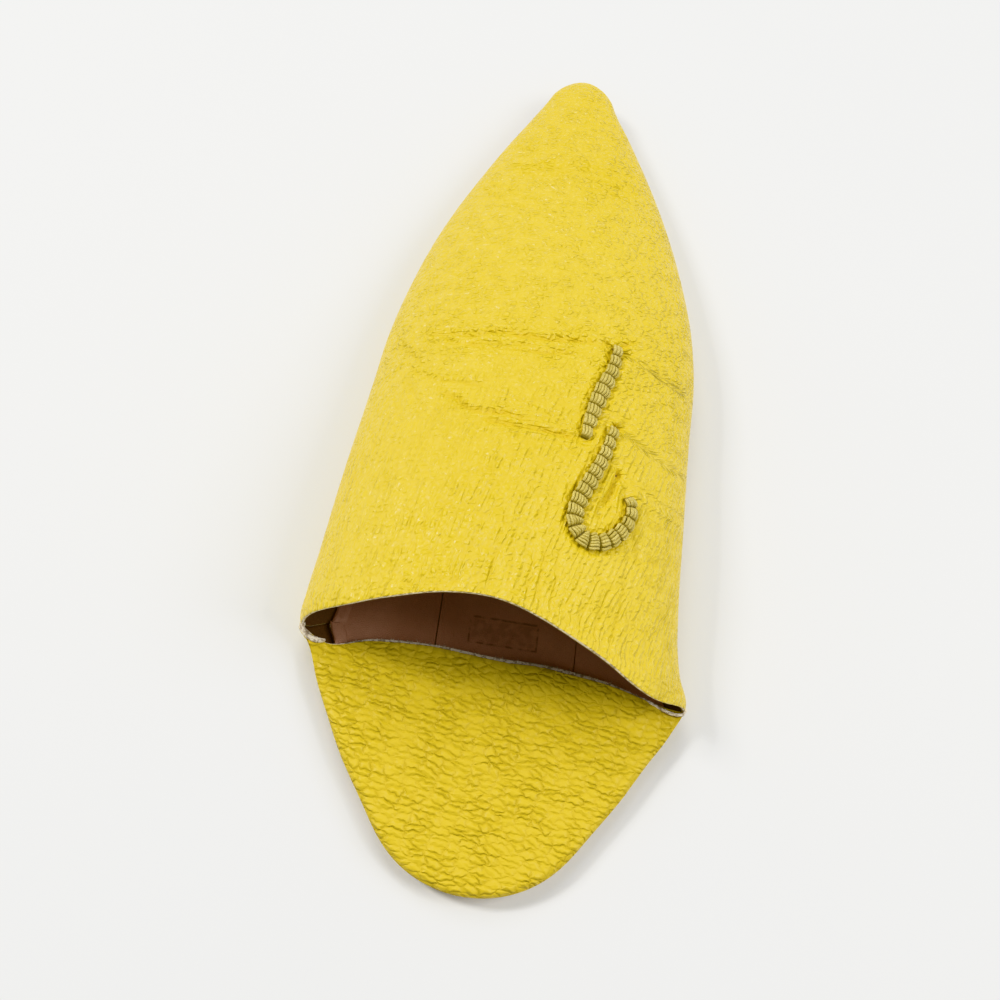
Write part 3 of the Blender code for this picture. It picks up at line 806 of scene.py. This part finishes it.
def add_quarter(finish):
    """The back of the upper, folded flat: wall, rolled fold and flap with its raw edge."""
    base = quarter_grid()
    normal = normals_of(base)
    upto = UNDER_COLUMNS + ROLL_ROWS
    slow, flow = flap_flow(base, upto)
    from_corner = from_ends(base.shape[1])
    on_flap = soft_step(upto - 6, upto + 10, np.arange(len(base))[:, None] + 0 * slow)
    relief = FLAP_WAVES * slow * on_flap * soft_step(0, 26, from_corner)
    outer = base + normal * relief[..., None]
    x = base[-1, :, 0]
    wide = np.interp(x, (-0.03, 0.03), (0.75, 1.3)) * MM * (1 + 0.2 * waves(x / 0.004, 0.0, 4))
    band = len(FLAP_LIP)
    room = outer[-band] - outer[-1]
    wide = np.minimum(wide, 0.85 * np.linalg.norm(room, axis=1))[:, None]
    way = unit(room, 1e-9)
    lip = [outer[-1] + back * wide * way - down * FLAP_WALL * normal[-1] for back, down in FLAP_LIP]
    skin = np.concatenate([outer[:-band], lip])
    from_fold = np.linalg.norm(skin - skin[UNDER_COLUMNS, 0], axis=2)
    raw = 1 - soft_step(TORN_FROM, TORN_TO, from_fold)
    raw[:upto] = 0
    raw[1 - band:] = 1
    raw[-band] = 0.1
    to_edge = np.linalg.norm(base - base[-1:], axis=2)
    wall = FLAP_WALL + (UPPER_WALL - FLAP_WALL) * soft_step(0, RAW_THINNING, to_edge)
    wall = wall * (0.1 + 0.9 * soft_step(4, 80, from_corner))
    inside = base - normal * wall[..., None]
    made = closed_sheet("upper_quarter", skin, inside, raw, 0 * raw, flow, finish)
    return made


def add_fold(name, places, thick, seed, finish):
    """The pinched fold that joins the throat's edge to the raw edge at a corner: a flat loop so many
    millimetres thick, stood on edge and carried along a curve, with a rough pale top, yellow outside and
    brown within."""
    path = curve_through(places, FOLD_RINGS) * MM
    onward = unit(np.gradient(path[:, :2], axis=0))
    inward = np.stack([-onward[:, 1], onward[:, 0], 0 * path[:, 0]], axis=-1)
    angle = np.linspace(0, 2 * np.pi, FOLD_SIDES + 1)
    side, level = (np.sign(value) * np.abs(value) ** 0.6 for value in (np.sin(angle), np.cos(angle)))
    gone = np.linspace(0, 1, FOLD_RINGS)
    taper = np.sqrt(np.clip(np.minimum(gone / 0.04, (1 - gone) / 0.1), 0, 1))
    rough = 1 + 0.26 * waves(gone[:, None] * 34 + 0 * angle, np.cos(angle) * 2, seed)
    reach = thick / 2 * MM * taper[:, None] * rough * side
    drop = FOLD_HEIGHT / 2 * MM * ((level - 1) * taper[:, None] + 0.07 * (rough - 1))
    grid = path[:, None] + inward[:, None] * reach[..., None]
    grid[..., 2] += drop
    grid[:, -1] = grid[:, 0]
    raw = np.clip(level * 1.6 + 0.2, 0, 1) + 0 * reach
    brown = np.clip(side, 0, 1) * (1 - raw) + 0 * reach
    made = add_piece(
        name, grid, [grid_faces(*grid.shape[:2], flip=True)], finish,
        skin=np.stack([raw, brown, 0 * raw], axis=-1).reshape(-1, 3),
        flow=np.concatenate([grid[..., :2], 0 * raw[..., None]], axis=-1).reshape(-1, 3),
    )
    return path, inward


def add_fibres(name, starts, ways, finish, rng):
    """Loose fibres of a torn edge: thin tapered tubes that start on it and bend as they go."""
    count = len(starts)
    gone = np.linspace(0, 1, FIBRE_RINGS)[None, :, None]
    reach = rng.uniform(0.2, 0.6, (count, 1, 1)) * MM
    bend = rng.normal(0, 0.45, (count, 1, 3)) * reach
    ways = ways + rng.normal(0, 0.35, ways.shape)
    middle = starts[:, None] + ways[:, None] * reach * gone + bend * gone**2
    thick = rng.uniform(0.06, 0.12, (count, 1, 1)) * MM * (1 - 0.75 * gone)
    around = np.linspace(0, 2 * np.pi, 4)[:-1]
    ring = np.stack([np.cos(around), np.sin(around), 0 * around], axis=-1)
    ring = np.stack([ring, ring[:, [0, 2, 1]]])[(np.abs(ways[:, 2]) < 0.5).astype(int)]
    points = middle[:, :, None] + thick[..., None] * ring[:, None]
    first = np.arange(count)[:, None, None] * FIBRE_RINGS * 3
    row = np.arange(FIBRE_RINGS - 1)[None, :, None] * 3
    place = np.arange(3)[None, None]
    after = (place + 1) % 3
    low, high = first + row, first + row + 3
    quads = np.stack([low + place, low + after, high + after, high + place], axis=-1)
    ends = np.arange(count)[:, None] * FIBRE_RINGS * 3
    caps = np.concatenate([ends + [2, 1, 0], ends + (FIBRE_RINGS - 1) * 3 + [0, 1, 2]])
    flat = points.reshape(-1, 3)
    made = add_piece(
        name, flat, (quads.reshape(-1, 4), caps), finish, outwards=True,
        skin=np.tile([1.0, 0.0, 0.0], (len(flat), 1)), flow=flat * (1, 1, 0),
    )


def add_insole_margin(finish):
    """The insole's outer margin, which runs on to the upper's wall: a low rounded strip carried round the
    whole shoe along the seam line, from just inside the upper's lower edge to over the insole's edge."""
    shares = (1 - np.cos(np.linspace(0, np.pi, MARGIN_ROWS))) / 2
    inner = shares * 0.992 + 0.004
    sides = np.concatenate([np.full(MARGIN_ROWS, 1.0), np.full(MARGIN_ROWS, -1.0)])
    along = np.concatenate([inner, inner[::-1]])
    grid = []
    for reach, rise in MARGIN:
        rows = [np.array(inset(a, way, seam_inset(a, way) + reach * MM)) for a, way in zip(along, sides)]
        grid.append(np.column_stack([np.array(rows), seam_height(along) + rise * MM]))
    grid = np.stack(grid, axis=1)
    grid = np.concatenate([grid, grid[:1]])
    made = add_piece("insole_margin", grid, [grid_faces(*grid.shape[:2])], finish, outwards=True)


def add_torn_edges(finish, rng):
    """Both corner folds, and the fibres that stand out of them and of the flap's raw edge."""
    starts, ways = [], []
    for fold in (("corner_fold_inner", INNER_FOLD, 1.5, 3), ("corner_fold_outer", OUTER_FOLD, 0.9, 8)):
        path, inward = add_fold(*fold, finish)
        chosen = rng.integers(4, FOLD_RINGS - 12, FOLD_FIBRES)
        starts.append(path[chosen] - (0, 0, 0.15 * MM))
        ways.append(inward[chosen] * rng.uniform(-0.7, 0.9, (FOLD_FIBRES, 1)) + (0, 0, 0.35))
    across = rng.uniform(-0.98, 0.8, EDGE_FIBRES)
    y = edge_along(RAW_EDGE, across) * LENGTH
    z = FLAP_HEIGHT - rng.uniform(0.15, 0.9, EDGE_FIBRES) * FLAP_WALL
    starts.append(np.stack([across * HALF_BALL, y - 0.1 * MM, z], axis=-1))
    ways.append(np.array([0.0, 0.75, 0.1]) * rng.uniform(0.4, 1, (EDGE_FIBRES, 1)))
    add_fibres("raw_edge_fibres", np.concatenate(starts), np.concatenate(ways), finish, rng)


def capped_tube(middle, across, normal, wide, tall):
    """Rings round a middle line, given as shares of the two directions, drawn to a point at both ends."""
    ring = middle[:, None] + across[:, None] * wide[..., None] + normal[:, None] * tall[..., None]
    ring = np.concatenate([ring, ring[:, :1]], axis=1)
    start, end = (np.repeat(middle[place][None, None], ring.shape[1], axis=1) for place in (0, -1))
    return np.concatenate([start, ring, end])


def add_threads(name, table, blocks, finish, rng):
    """An embroidered bar: blocks of threads side by side that arch up and draw in at both ends.

    Thread n of a block runs at a share of the bar's half width to the side, swings in an S, and its
    height follows a half ellipse across the bar and a raised sine along the block. A plain oval core
    fills the bar under them, in the dark olive of painted shade.
    """
    path, across, normal, width = bar_path(table, blocks * THREAD_RINGS * 4 + 1)
    around = np.linspace(0, 2 * np.pi, THREAD_SIDES, endpoint=False)
    gone = np.linspace(0, 1, THREAD_RINGS)
    swell = np.sin(np.pi * gone) ** 0.4
    tubes, yarn = [], []
    for block in range(blocks):
        index = (np.linspace(block, block + 1, THREAD_RINGS) / blocks * (len(path) - 1)).astype(int)
        half = THREAD_WIDTH / 2 * width[index] * (1 - BLOCK_PINCH * (1 - swell))
        count = max(3, int(round(THREADS_ACROSS * width[index].mean())))
        for thread in range(count):
            share = (2 * thread + 1) / count - 1 + rng.uniform(-0.03, 0.03)
            thick = half.max() / count * 1.02
            side = share * half + THREAD_SWING * np.sin(2 * np.pi * gone + 0.5)
            crown = THREAD_HEIGHT * (0.30 + 0.62 * np.sqrt(max(0, 1 - share**2)))
            rise = (crown + 0.1 * MM * rng.uniform(-1, 1)) * (0.25 + 0.75 * swell) - THREAD_SINK
            middle = path[index] + across[index] * side[:, None] + normal[index] * rise[:, None]
            radius = (thick * (0.74 + 0.26 * swell))[:, None]
            tubes.append(capped_tube(
                middle, across[index], normal[index], radius * np.cos(around), radius * np.sin(around)))
            tone = rng.uniform(0, 1)
            # deep is 1 on a thread's crown and 0 at its ends, where the thread's colour paints shade
            deep = np.concatenate([[0], swell, [0]])[:, None] + 0 * tubes[-1][..., 0]
            yarn.append(np.stack([deep, 0 * deep + tone, 0 * deep + share], axis=-1).reshape(-1, 3))
    some = np.linspace(0, len(path) - 1, 4 * blocks).astype(int)
    wide = width[some][:, None] * (THREAD_WIDTH * 0.36 * np.cos(around))
    tall = THREAD_HEIGHT * 0.4 * np.sin(around)
    tubes.append(capped_tube(path[some], across[some], normal[some], wide, tall[None]))
    # The core's yarn values are 0, so it takes the dark olive of painted shade
    yarn.append(np.zeros((tubes[-1].size // 3, 3)))
    faces, first = [], 0
    for tube in tubes:
        faces.append(grid_faces(*tube.shape[:2], first=first, flip=True))
        first += tube.size // 3
    points = np.concatenate([tube.reshape(-1, 3) for tube in tubes])
    made = add_piece(name, points, faces, finish, yarn=np.concatenate(yarn))
    return made


def feed(tree, node, inputs):
    """Sets a node's inputs, each to a value or to another node's socket."""
    for key, value in dict(inputs).items():
        if isinstance(value, bpy.types.NodeSocket):
            tree.links.new(value, node.inputs[key])
        else:
            node.inputs[key].default_value = value


def add(tree, kind, inputs=(), **settings):
    """A shader node's outputs."""
    node = tree.nodes.new(kind)
    for key, value in settings.items():
        setattr(node, key, value)
    feed(tree, node, inputs)
    return node.outputs


def maths(tree, operation, *values):
    """A number worked out from one to three others."""
    return add(tree, "ShaderNodeMath", enumerate(values), operation=operation)[0]


def times(tree, first, second):
    """The product of two numbers."""
    return maths(tree, "MULTIPLY", first, second)


def plus(tree, first, second, rest):
    """The product of two numbers, and the rest added."""
    return maths(tree, "MULTIPLY_ADD", first, second, rest)


def beyond(tree, value, limit):
    """How far a number lies from a limit."""
    return maths(tree, "ABSOLUTE", maths(tree, "SUBTRACT", value, limit))


def ranged(tree, value, from_min, from_max, to_min=0.0, to_max=1.0):
    """A number moved softly from one range to another."""
    inputs = {"Value": value, 1: from_min, 2: from_max, 3: to_min, 4: to_max}
    return add(tree, "ShaderNodeMapRange", inputs, interpolation_type="SMOOTHSTEP")[0]


def clamped(tree, value, most=1.0):
    """A number held between 0 and the most."""
    return add(tree, "ShaderNodeClamp", {"Value": value, "Max": most})[0]


def mixed(tree, share, first, second):
    """Two numbers mixed by a share."""
    return add(tree, "ShaderNodeMix", {"Factor": share, 2: first, 3: second}, data_type="FLOAT")[0]


def blended(tree, share, *colours):
    """Two colours mixed by a share."""
    inputs = {"Factor": share}
    for slot, colour in enumerate(colours, 6):
        inputs[slot] = colour if isinstance(colour, bpy.types.NodeSocket) else (*colour, 1)
    return add(tree, "ShaderNodeMix", inputs, data_type="RGBA")[2]


def noise(tree, place, scale, detail, part="Fac", **settings):
    """A noise's height, or its colour."""
    inputs = {"Vector": place, "Scale": scale, "Detail": detail}
    return add(tree, "ShaderNodeTexNoise", inputs, **settings)[part]


def told(tree, name, kind="Vector"):
    """A value that the piece carries."""
    return add(tree, "ShaderNodeAttribute", attribute_name=name)[kind]


def split(tree, vector):
    """A vector's three numbers."""
    return add(tree, "ShaderNodeSeparateXYZ", {0: vector})


def flat_place(tree, x, y):
    """A place from two numbers."""
    return add(tree, "ShaderNodeCombineXYZ", {0: x, 1: y})[0]


def vectors(tree, operation, inputs):
    """A vector worked out from others: input 3 is a scale."""
    return add(tree, "ShaderNodeVectorMath", inputs, operation=operation)[0]


def bumped(tree, height, distance):
    """The normal of a surface that rises by the height times the distance."""
    return add(tree, "ShaderNodeBump", {"Height": height, "Distance": distance})[0]


def grain_group():
    """Pebbled grain on flat coordinates bent a little by noise: rounded pillows, each rising with one minus
    the square of what is left to its middle, counted from the border between two random points, or, as far
    as Soft says, with a smooth step from the border, lower in some patches, with smaller pillows and pores
    on them. Puts out the height and how close to a border a place lies."""
    tree = bpy.data.node_groups.new("pebbled_grain", "ShaderNodeTree")
    tree.interface.new_socket("Place", in_out="INPUT", socket_type="NodeSocketVector")
    for label, value in (("Cells", 500.0), ("Beads", 0.25), ("Soft", 1.0)):
        socket = tree.interface.new_socket(label, in_out="INPUT", socket_type="NodeSocketFloat")
        socket.default_value = value
    for label in ("Height", "Valley"):
        tree.interface.new_socket(label, in_out="OUTPUT", socket_type="NodeSocketFloat")
    given, out = tree.nodes.new("NodeGroupInput"), tree.nodes.new("NodeGroupOutput")
    place, pace, beads, soft = (given.outputs[name] for name in ("Place", "Cells", "Beads", "Soft"))

    def mottle(scale, detail, part="Fac"):
        return noise(tree, place, times(tree, pace, scale), detail, part, noise_dimensions="2D")

    centred = vectors(tree, "SUBTRACT", {0: mottle(1.2, 1.0, "Color"), 1: (0.5, 0.5, 0.5)})
    shift = vectors(tree, "SCALE", {0: centred, 3: maths(tree, "DIVIDE", 0.34, pace)})
    bent = vectors(tree, "ADD", {0: place, 1: shift})

    def border(scale):
        inputs = {"Vector": bent, "Scale": times(tree, pace, scale), "Randomness": 0.85}
        return add(tree, "ShaderNodeTexVoronoi", inputs, feature="DISTANCE_TO_EDGE",
                   voronoi_dimensions="2D")["Distance"]

    def pillow(away):
        left = maths(tree, "MAXIMUM", plus(tree, away, -2.0, 1.0), 0.0)
        steep = maths(tree, "SUBTRACT", 1.0, times(tree, left, left))
        return mixed(tree, soft, steep, ranged(tree, away, 0.0, 0.42))

    away = border(1.0)
    deep = ranged(tree, mottle(0.45, 2.0), 0.38, 0.6, 0.5, 1.0)
    height = plus(tree, pillow(border(2.3)), beads, times(tree, pillow(away), deep))
    height = plus(tree, mottle(5.0, 2.0), 0.025, height)
    valley = times(tree, ranged(tree, away, 0.0, 0.24, 1.0, 0.0), deep)
    feed(tree, out, {"Height": height, "Valley": valley})
    return tree


def new_material(name):
    """A material, its node tree and shader, and the place on the piece."""
    made = bpy.data.materials.new(name)
    made.use_nodes = True
    tree = made.node_tree
    return made, tree, tree.nodes["Principled BSDF"], add(tree, "ShaderNodeTexCoord")["Object"]


def yellow_leather(grain):
    """Full-grain leather, dyed yellow: pebbles shinier than the valleys between them, with painted shade in
    the valleys and creases, drawn out lengthwise where the third flow value says so, with the flap's own
    depth and a darker painted shade on its dye where it is below 0. The skin values tell a cut edge, the
    flesh side and a crease's painted shade. Heights are in millimetres."""
    made, tree, shader, place = new_material("yellow_pebbled_leather")
    raw, inside, crease_shade = split(tree, told(tree, "skin"))
    u, v, drawn = split(tree, told(tree, "flow"))
    on_flap = clamped(tree, times(tree, drawn, -1.0))
    share = plus(tree, maths(tree, "SUBTRACT", noise(tree, place, 90.0, 2.0), 0.5), 1.2, drawn)
    share = ranged(tree, share, 0.15, 0.95, 0.0, 0.9)
    round_grain = add(tree, "ShaderNodeGroup", {
        "Place": flat_place(tree, u, v), "Cells": 490.0, "Beads": 0.07,
        "Soft": maths(tree, "SUBTRACT", 1.0, on_flap)}, node_tree=grain)
    long_grain = add(tree, "ShaderNodeGroup", {
        "Place": flat_place(tree, u, times(tree, v, 0.19)), "Cells": 500.0, "Beads": 0.0}, node_tree=grain)
    cross = noise(tree, flat_place(tree, times(tree, u, 0.16), v), 620.0, 1.0, noise_dimensions="2D")
    cross = beyond(tree, cross, 0.5)
    cross = times(tree, ranged(tree, cross, 0.0, 0.1, 1.0, 0.0), told(tree, "crossed", "Fac"))

    tall = plus(tree, on_flap, -0.03, plus(tree, share, -0.3, 0.58))
    height = times(tree, round_grain["Height"], tall)
    height = plus(tree, times(tree, share, long_grain["Height"]), 0.5, height)
    height = plus(tree, cross, -0.2, height)
    # Painted shade: how far the grain's valleys, crossing wrinkles and creases darken the dye below
    darkest = plus(tree, on_flap, 0.42, plus(tree, share, -0.15, 0.48))
    valley = times(tree, round_grain["Valley"], darkest)
    valley = plus(tree, times(tree, share, long_grain["Valley"]), 0.55, valley)
    valley = plus(tree, cross, 0.6, valley)
    valley = clamped(tree, plus(tree, crease_shade, 0.6, valley), 1.2)

    slow = ranged(tree, noise(tree, place, 22.0, 3.0), 0.3, 0.7)
    dye_and_shade = blended(tree, slow, (0.805, 0.605, 0.045), (0.85, 0.645, 0.053))
    # Painted shade: the flap, the same leather as the vamp, is given a darker dye
    dye_and_shade = blended(tree, on_flap, dye_and_shade, (0.735, 0.545, 0.04))
    # Painted shade in the valleys and creases
    dye_and_shade = blended(tree, times(tree, valley, 0.42), dye_and_shade, (0.56, 0.385, 0.014))
    fuzz = noise(tree, place, 2600.0, 3.0)
    tuft = noise(tree, place, 900.0, 3.0)
    cut = blended(tree, ranged(tree, fuzz, 0.3, 0.6), (0.92, 0.78, 0.56), (1.0, 0.92, 0.74))
    cut = blended(tree, ranged(tree, tuft, 0.36, 0.56, 0.75, 0.0), cut, (0.36, 0.27, 0.17))
    nap = blended(tree, fuzz, (0.11, 0.06, 0.03), (0.22, 0.125, 0.07))
    rough = plus(tree, on_flap, 0.2, ranged(tree, valley, 0.0, 0.8, 0.27, 0.5))
    torn = plus(tree, tuft, 0.25, times(tree, fuzz, 0.03))
    bare = maths(tree, "MAXIMUM", raw, inside)
    feed(tree, shader, {
        "Base Color": blended(tree, inside, blended(tree, raw, dye_and_shade, cut), nap),
        "Roughness": mixed(tree, bare, rough, 0.9),
        "Normal": bumped(tree, mixed(tree, bare, height, torn), MM),
        "Specular IOR Level": 0.4,
    })
    return made


def insole_leather(grain):
    """Smooth brown leather with fine pores and faint streaks, darker where the foot has pressed, and a
    worn plain rectangle, a line round a faint fill, on the heel's middle strip."""
    made, tree, shader, place = new_material("brown_insole_leather")
    fine = add(tree, "ShaderNodeGroup", {"Place": place, "Cells": 1500.0}, node_tree=grain)
    slow = ranged(tree, noise(tree, place, 35.0, 4.0), 0.3, 0.7)
    tone = blended(tree, slow, (0.50, 0.27, 0.18), (0.66, 0.38, 0.26))
    tone = blended(tree, times(tree, fine["Valley"], 0.12), tone, (0.20, 0.085, 0.035))
    x, y, _ = split(tree, place)
    from_x = maths(tree, "SUBTRACT", beyond(tree, x, MARK_X), MARK_HALF_X)
    from_y = maths(tree, "SUBTRACT", beyond(tree, y, MARK_Y), MARK_HALF_Y)
    outside = maths(tree, "MAXIMUM", from_x, from_y)
    line = ranged(tree, maths(tree, "ABSOLUTE", outside), 0.0001, 0.0005, 0.55, 0.0)
    mark = maths(tree, "ADD", line, ranged(tree, outside, -0.0012, 0.0, 0.22, 0.0))
    mark = times(tree, mark, ranged(tree, noise(tree, place, 420.0, 3.0), 0.36, 0.6))
    feed(tree, shader, {
        "Base Color": blended(tree, mark, tone, (0.09, 0.035, 0.018)),
        "Roughness": 0.6,
        "Normal": bumped(tree, fine["Height"], 0.00006),
    })
    return made


def sole_leather():
    """Thick natural sole leather: pale, with layered fibres on its edge and scuffs underneath."""
    made, tree, shader, place = new_material("natural_sole_leather")
    layers = add(tree, "ShaderNodeMapping", {"Vector": place, "Scale": (220.0, 220.0, 2600.0)})[0]
    fibres = noise(tree, layers, 1.0, 3.0)
    scuffs = ranged(tree, noise(tree, place, 40.0, 5.0), 0.45, 0.75, 0.0, 0.5)
    tone = blended(tree, ranged(tree, fibres, 0.3, 0.7), (0.50, 0.37, 0.25), (0.66, 0.52, 0.38))
    feed(tree, shader, {
        "Base Color": blended(tree, scuffs, tone, (0.40, 0.29, 0.19)),
        "Roughness": 0.66,
        "Normal": bumped(tree, fibres, 0.00012),
    })
    return made


def khaki_thread():
    """Twisted khaki thread: paler on its crowns, with painted shade in dark olive where it dives between
    blocks and on the core.
    """
    made, tree, shader, place = new_material("khaki_embroidery_thread")
    deep, tint, _ = split(tree, told(tree, "yarn"))
    fuzz = noise(tree, place, 3200.0, 3.0)
    tone = blended(tree, tint, (0.60, 0.49, 0.12), (0.78, 0.66, 0.22))
    tone = blended(tree, ranged(tree, fuzz, 0.35, 0.65), (0.46, 0.36, 0.06), tone)
    feed(tree, shader, {
        # Painted shade: dark olive where a thread dives at a block's ends and on the core, paler on the
        # crowns
        "Base Color": blended(tree, ranged(tree, deep, 0.15, 0.75), (0.26, 0.19, 0.02), tone),
        "Roughness": 0.46,
        "Sheen Weight": 0.25,
        "Sheen Roughness": 0.4,
        "Normal": bumped(tree, fuzz, 0.0001),
    })
    return made


def pale_floor():
    """A plain pale floor with a faint mottle."""
    made, tree, shader, place = new_material("pale_floor")
    tone = blended(tree, noise(tree, place, 9.0, 3.0), (0.83, 0.83, 0.82), (0.86, 0.86, 0.85))
    feed(tree, shader, {"Base Color": tone, "Roughness": 0.7})
    mesh = bpy.data.meshes.new("floor")
    corners = [(x * FLOOR_HALF, y * FLOOR_HALF, 0) for x, y in ((-1, -1), (1, -1), (1, 1), (-1, 1))]
    mesh.from_pydata(corners, [], [(0, 1, 2, 3)])
    mesh.materials.append(made)
    floor = bpy.data.objects.new("floor", mesh)
    bpy.context.scene.collection.objects.link(floor)


def add_light(name, place, size, power, colour):
    """A soft square light that looks at the shoe."""
    lamp = bpy.data.lights.new(name, "AREA")
    lamp.shape = "SQUARE"
    lamp.size = size
    lamp.energy = power
    lamp.color = colour
    made = bpy.data.objects.new(name, lamp)
    made.location = place
    made.rotation_euler = (Vector(LIGHT_AIM) - Vector(place)).to_track_quat("-Z", "Y").to_euler()
    bpy.context.scene.collection.objects.link(made)


def add_studio():
    """Soft daylight from the upper left of the picture, with a pale room round it."""
    add_light("key_light", (-1.08, 0.24, 1.02), 0.3, 12.6, (1.0, 0.99, 0.97))
    add_light("window_light", (-0.35, 1.05, 1.4), 0.8, 8.2, (1.0, 1.0, 1.0))
    add_light("room_light", (1.05, 0.05, 1.05), 0.8, 12.0, (1.0, 0.99, 0.98))
    world = bpy.data.worlds.new("pale_room")
    world.use_nodes = True
    background = world.node_tree.nodes["Background"]
    feed(world.node_tree, background, {"Color": (0.96, 0.98, 1.0, 1), "Strength": 0.38})
    bpy.context.scene.world = world
    bpy.context.scene.view_settings.view_transform = "Khronos PBR Neutral"


def add_camera():
    """The photograph's viewpoint, turned in place so that the shoe stands in the middle."""
    heading = np.array(CAMERA_HEADING) / np.linalg.norm(CAMERA_HEADING)
    down = np.radians(CAMERA_DOWN)
    ahead = np.append(heading * np.cos(down), -np.sin(down))
    up = np.append(heading * np.sin(down), np.cos(down))
    right = np.cross(ahead, up)
    turned = Matrix.Rotation(-np.radians(CAMERA_TURN), 3, Vector(up)) @ Matrix.Rotation(
        -np.radians(CAMERA_DIP), 3, Vector(right))
    axes = turned @ Matrix(np.stack([right, up, -ahead], axis=1).tolist())
    lens = bpy.data.cameras.new("camera")
    lens.sensor_width = 36
    lens.lens = CAMERA_LENS
    lens.clip_start = 0.01
    camera = bpy.data.objects.new("camera", lens)
    camera.matrix_world = Matrix.Translation(Vector(CAMERA_PLACE)) @ axes.to_4x4()
    bpy.context.scene.collection.objects.link(camera)
    bpy.context.scene.camera = camera


def main():
    """Every piece, the stage, the lights and the camera."""
    grain = grain_group()
    leather, thread = yellow_leather(grain), khaki_thread()
    vamp, quarter = add_vamp(leather), add_quarter(leather)
    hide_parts("upper")
    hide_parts("upper")
    rng = np.random.default_rng(THREAD_SEED)
    stroke = add_threads("embroidery_stroke_threads", STROKE, STROKE_BLOCKS, thread, rng)
    hook = add_threads("embroidery_hook_threads", HOOK, HOOK_BLOCKS, thread, rng)
    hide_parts("embroidery_stroke")
    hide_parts("embroidery_hook")
    add_torn_edges(leather, np.random.default_rng(FIBRE_SEED))
    insole, sole = insole_leather(grain), sole_leather()
    add_insole_margin(insole)
    for name, finish in (("insole_centre", insole), ("insole_inner", insole), ("insole_outer", insole),
                         ("outsole", sole)):
        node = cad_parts[name]
        node.data.materials.clear()
        node.data.materials.append(finish)
    pale_floor()
    add_studio()
    add_camera()


main()
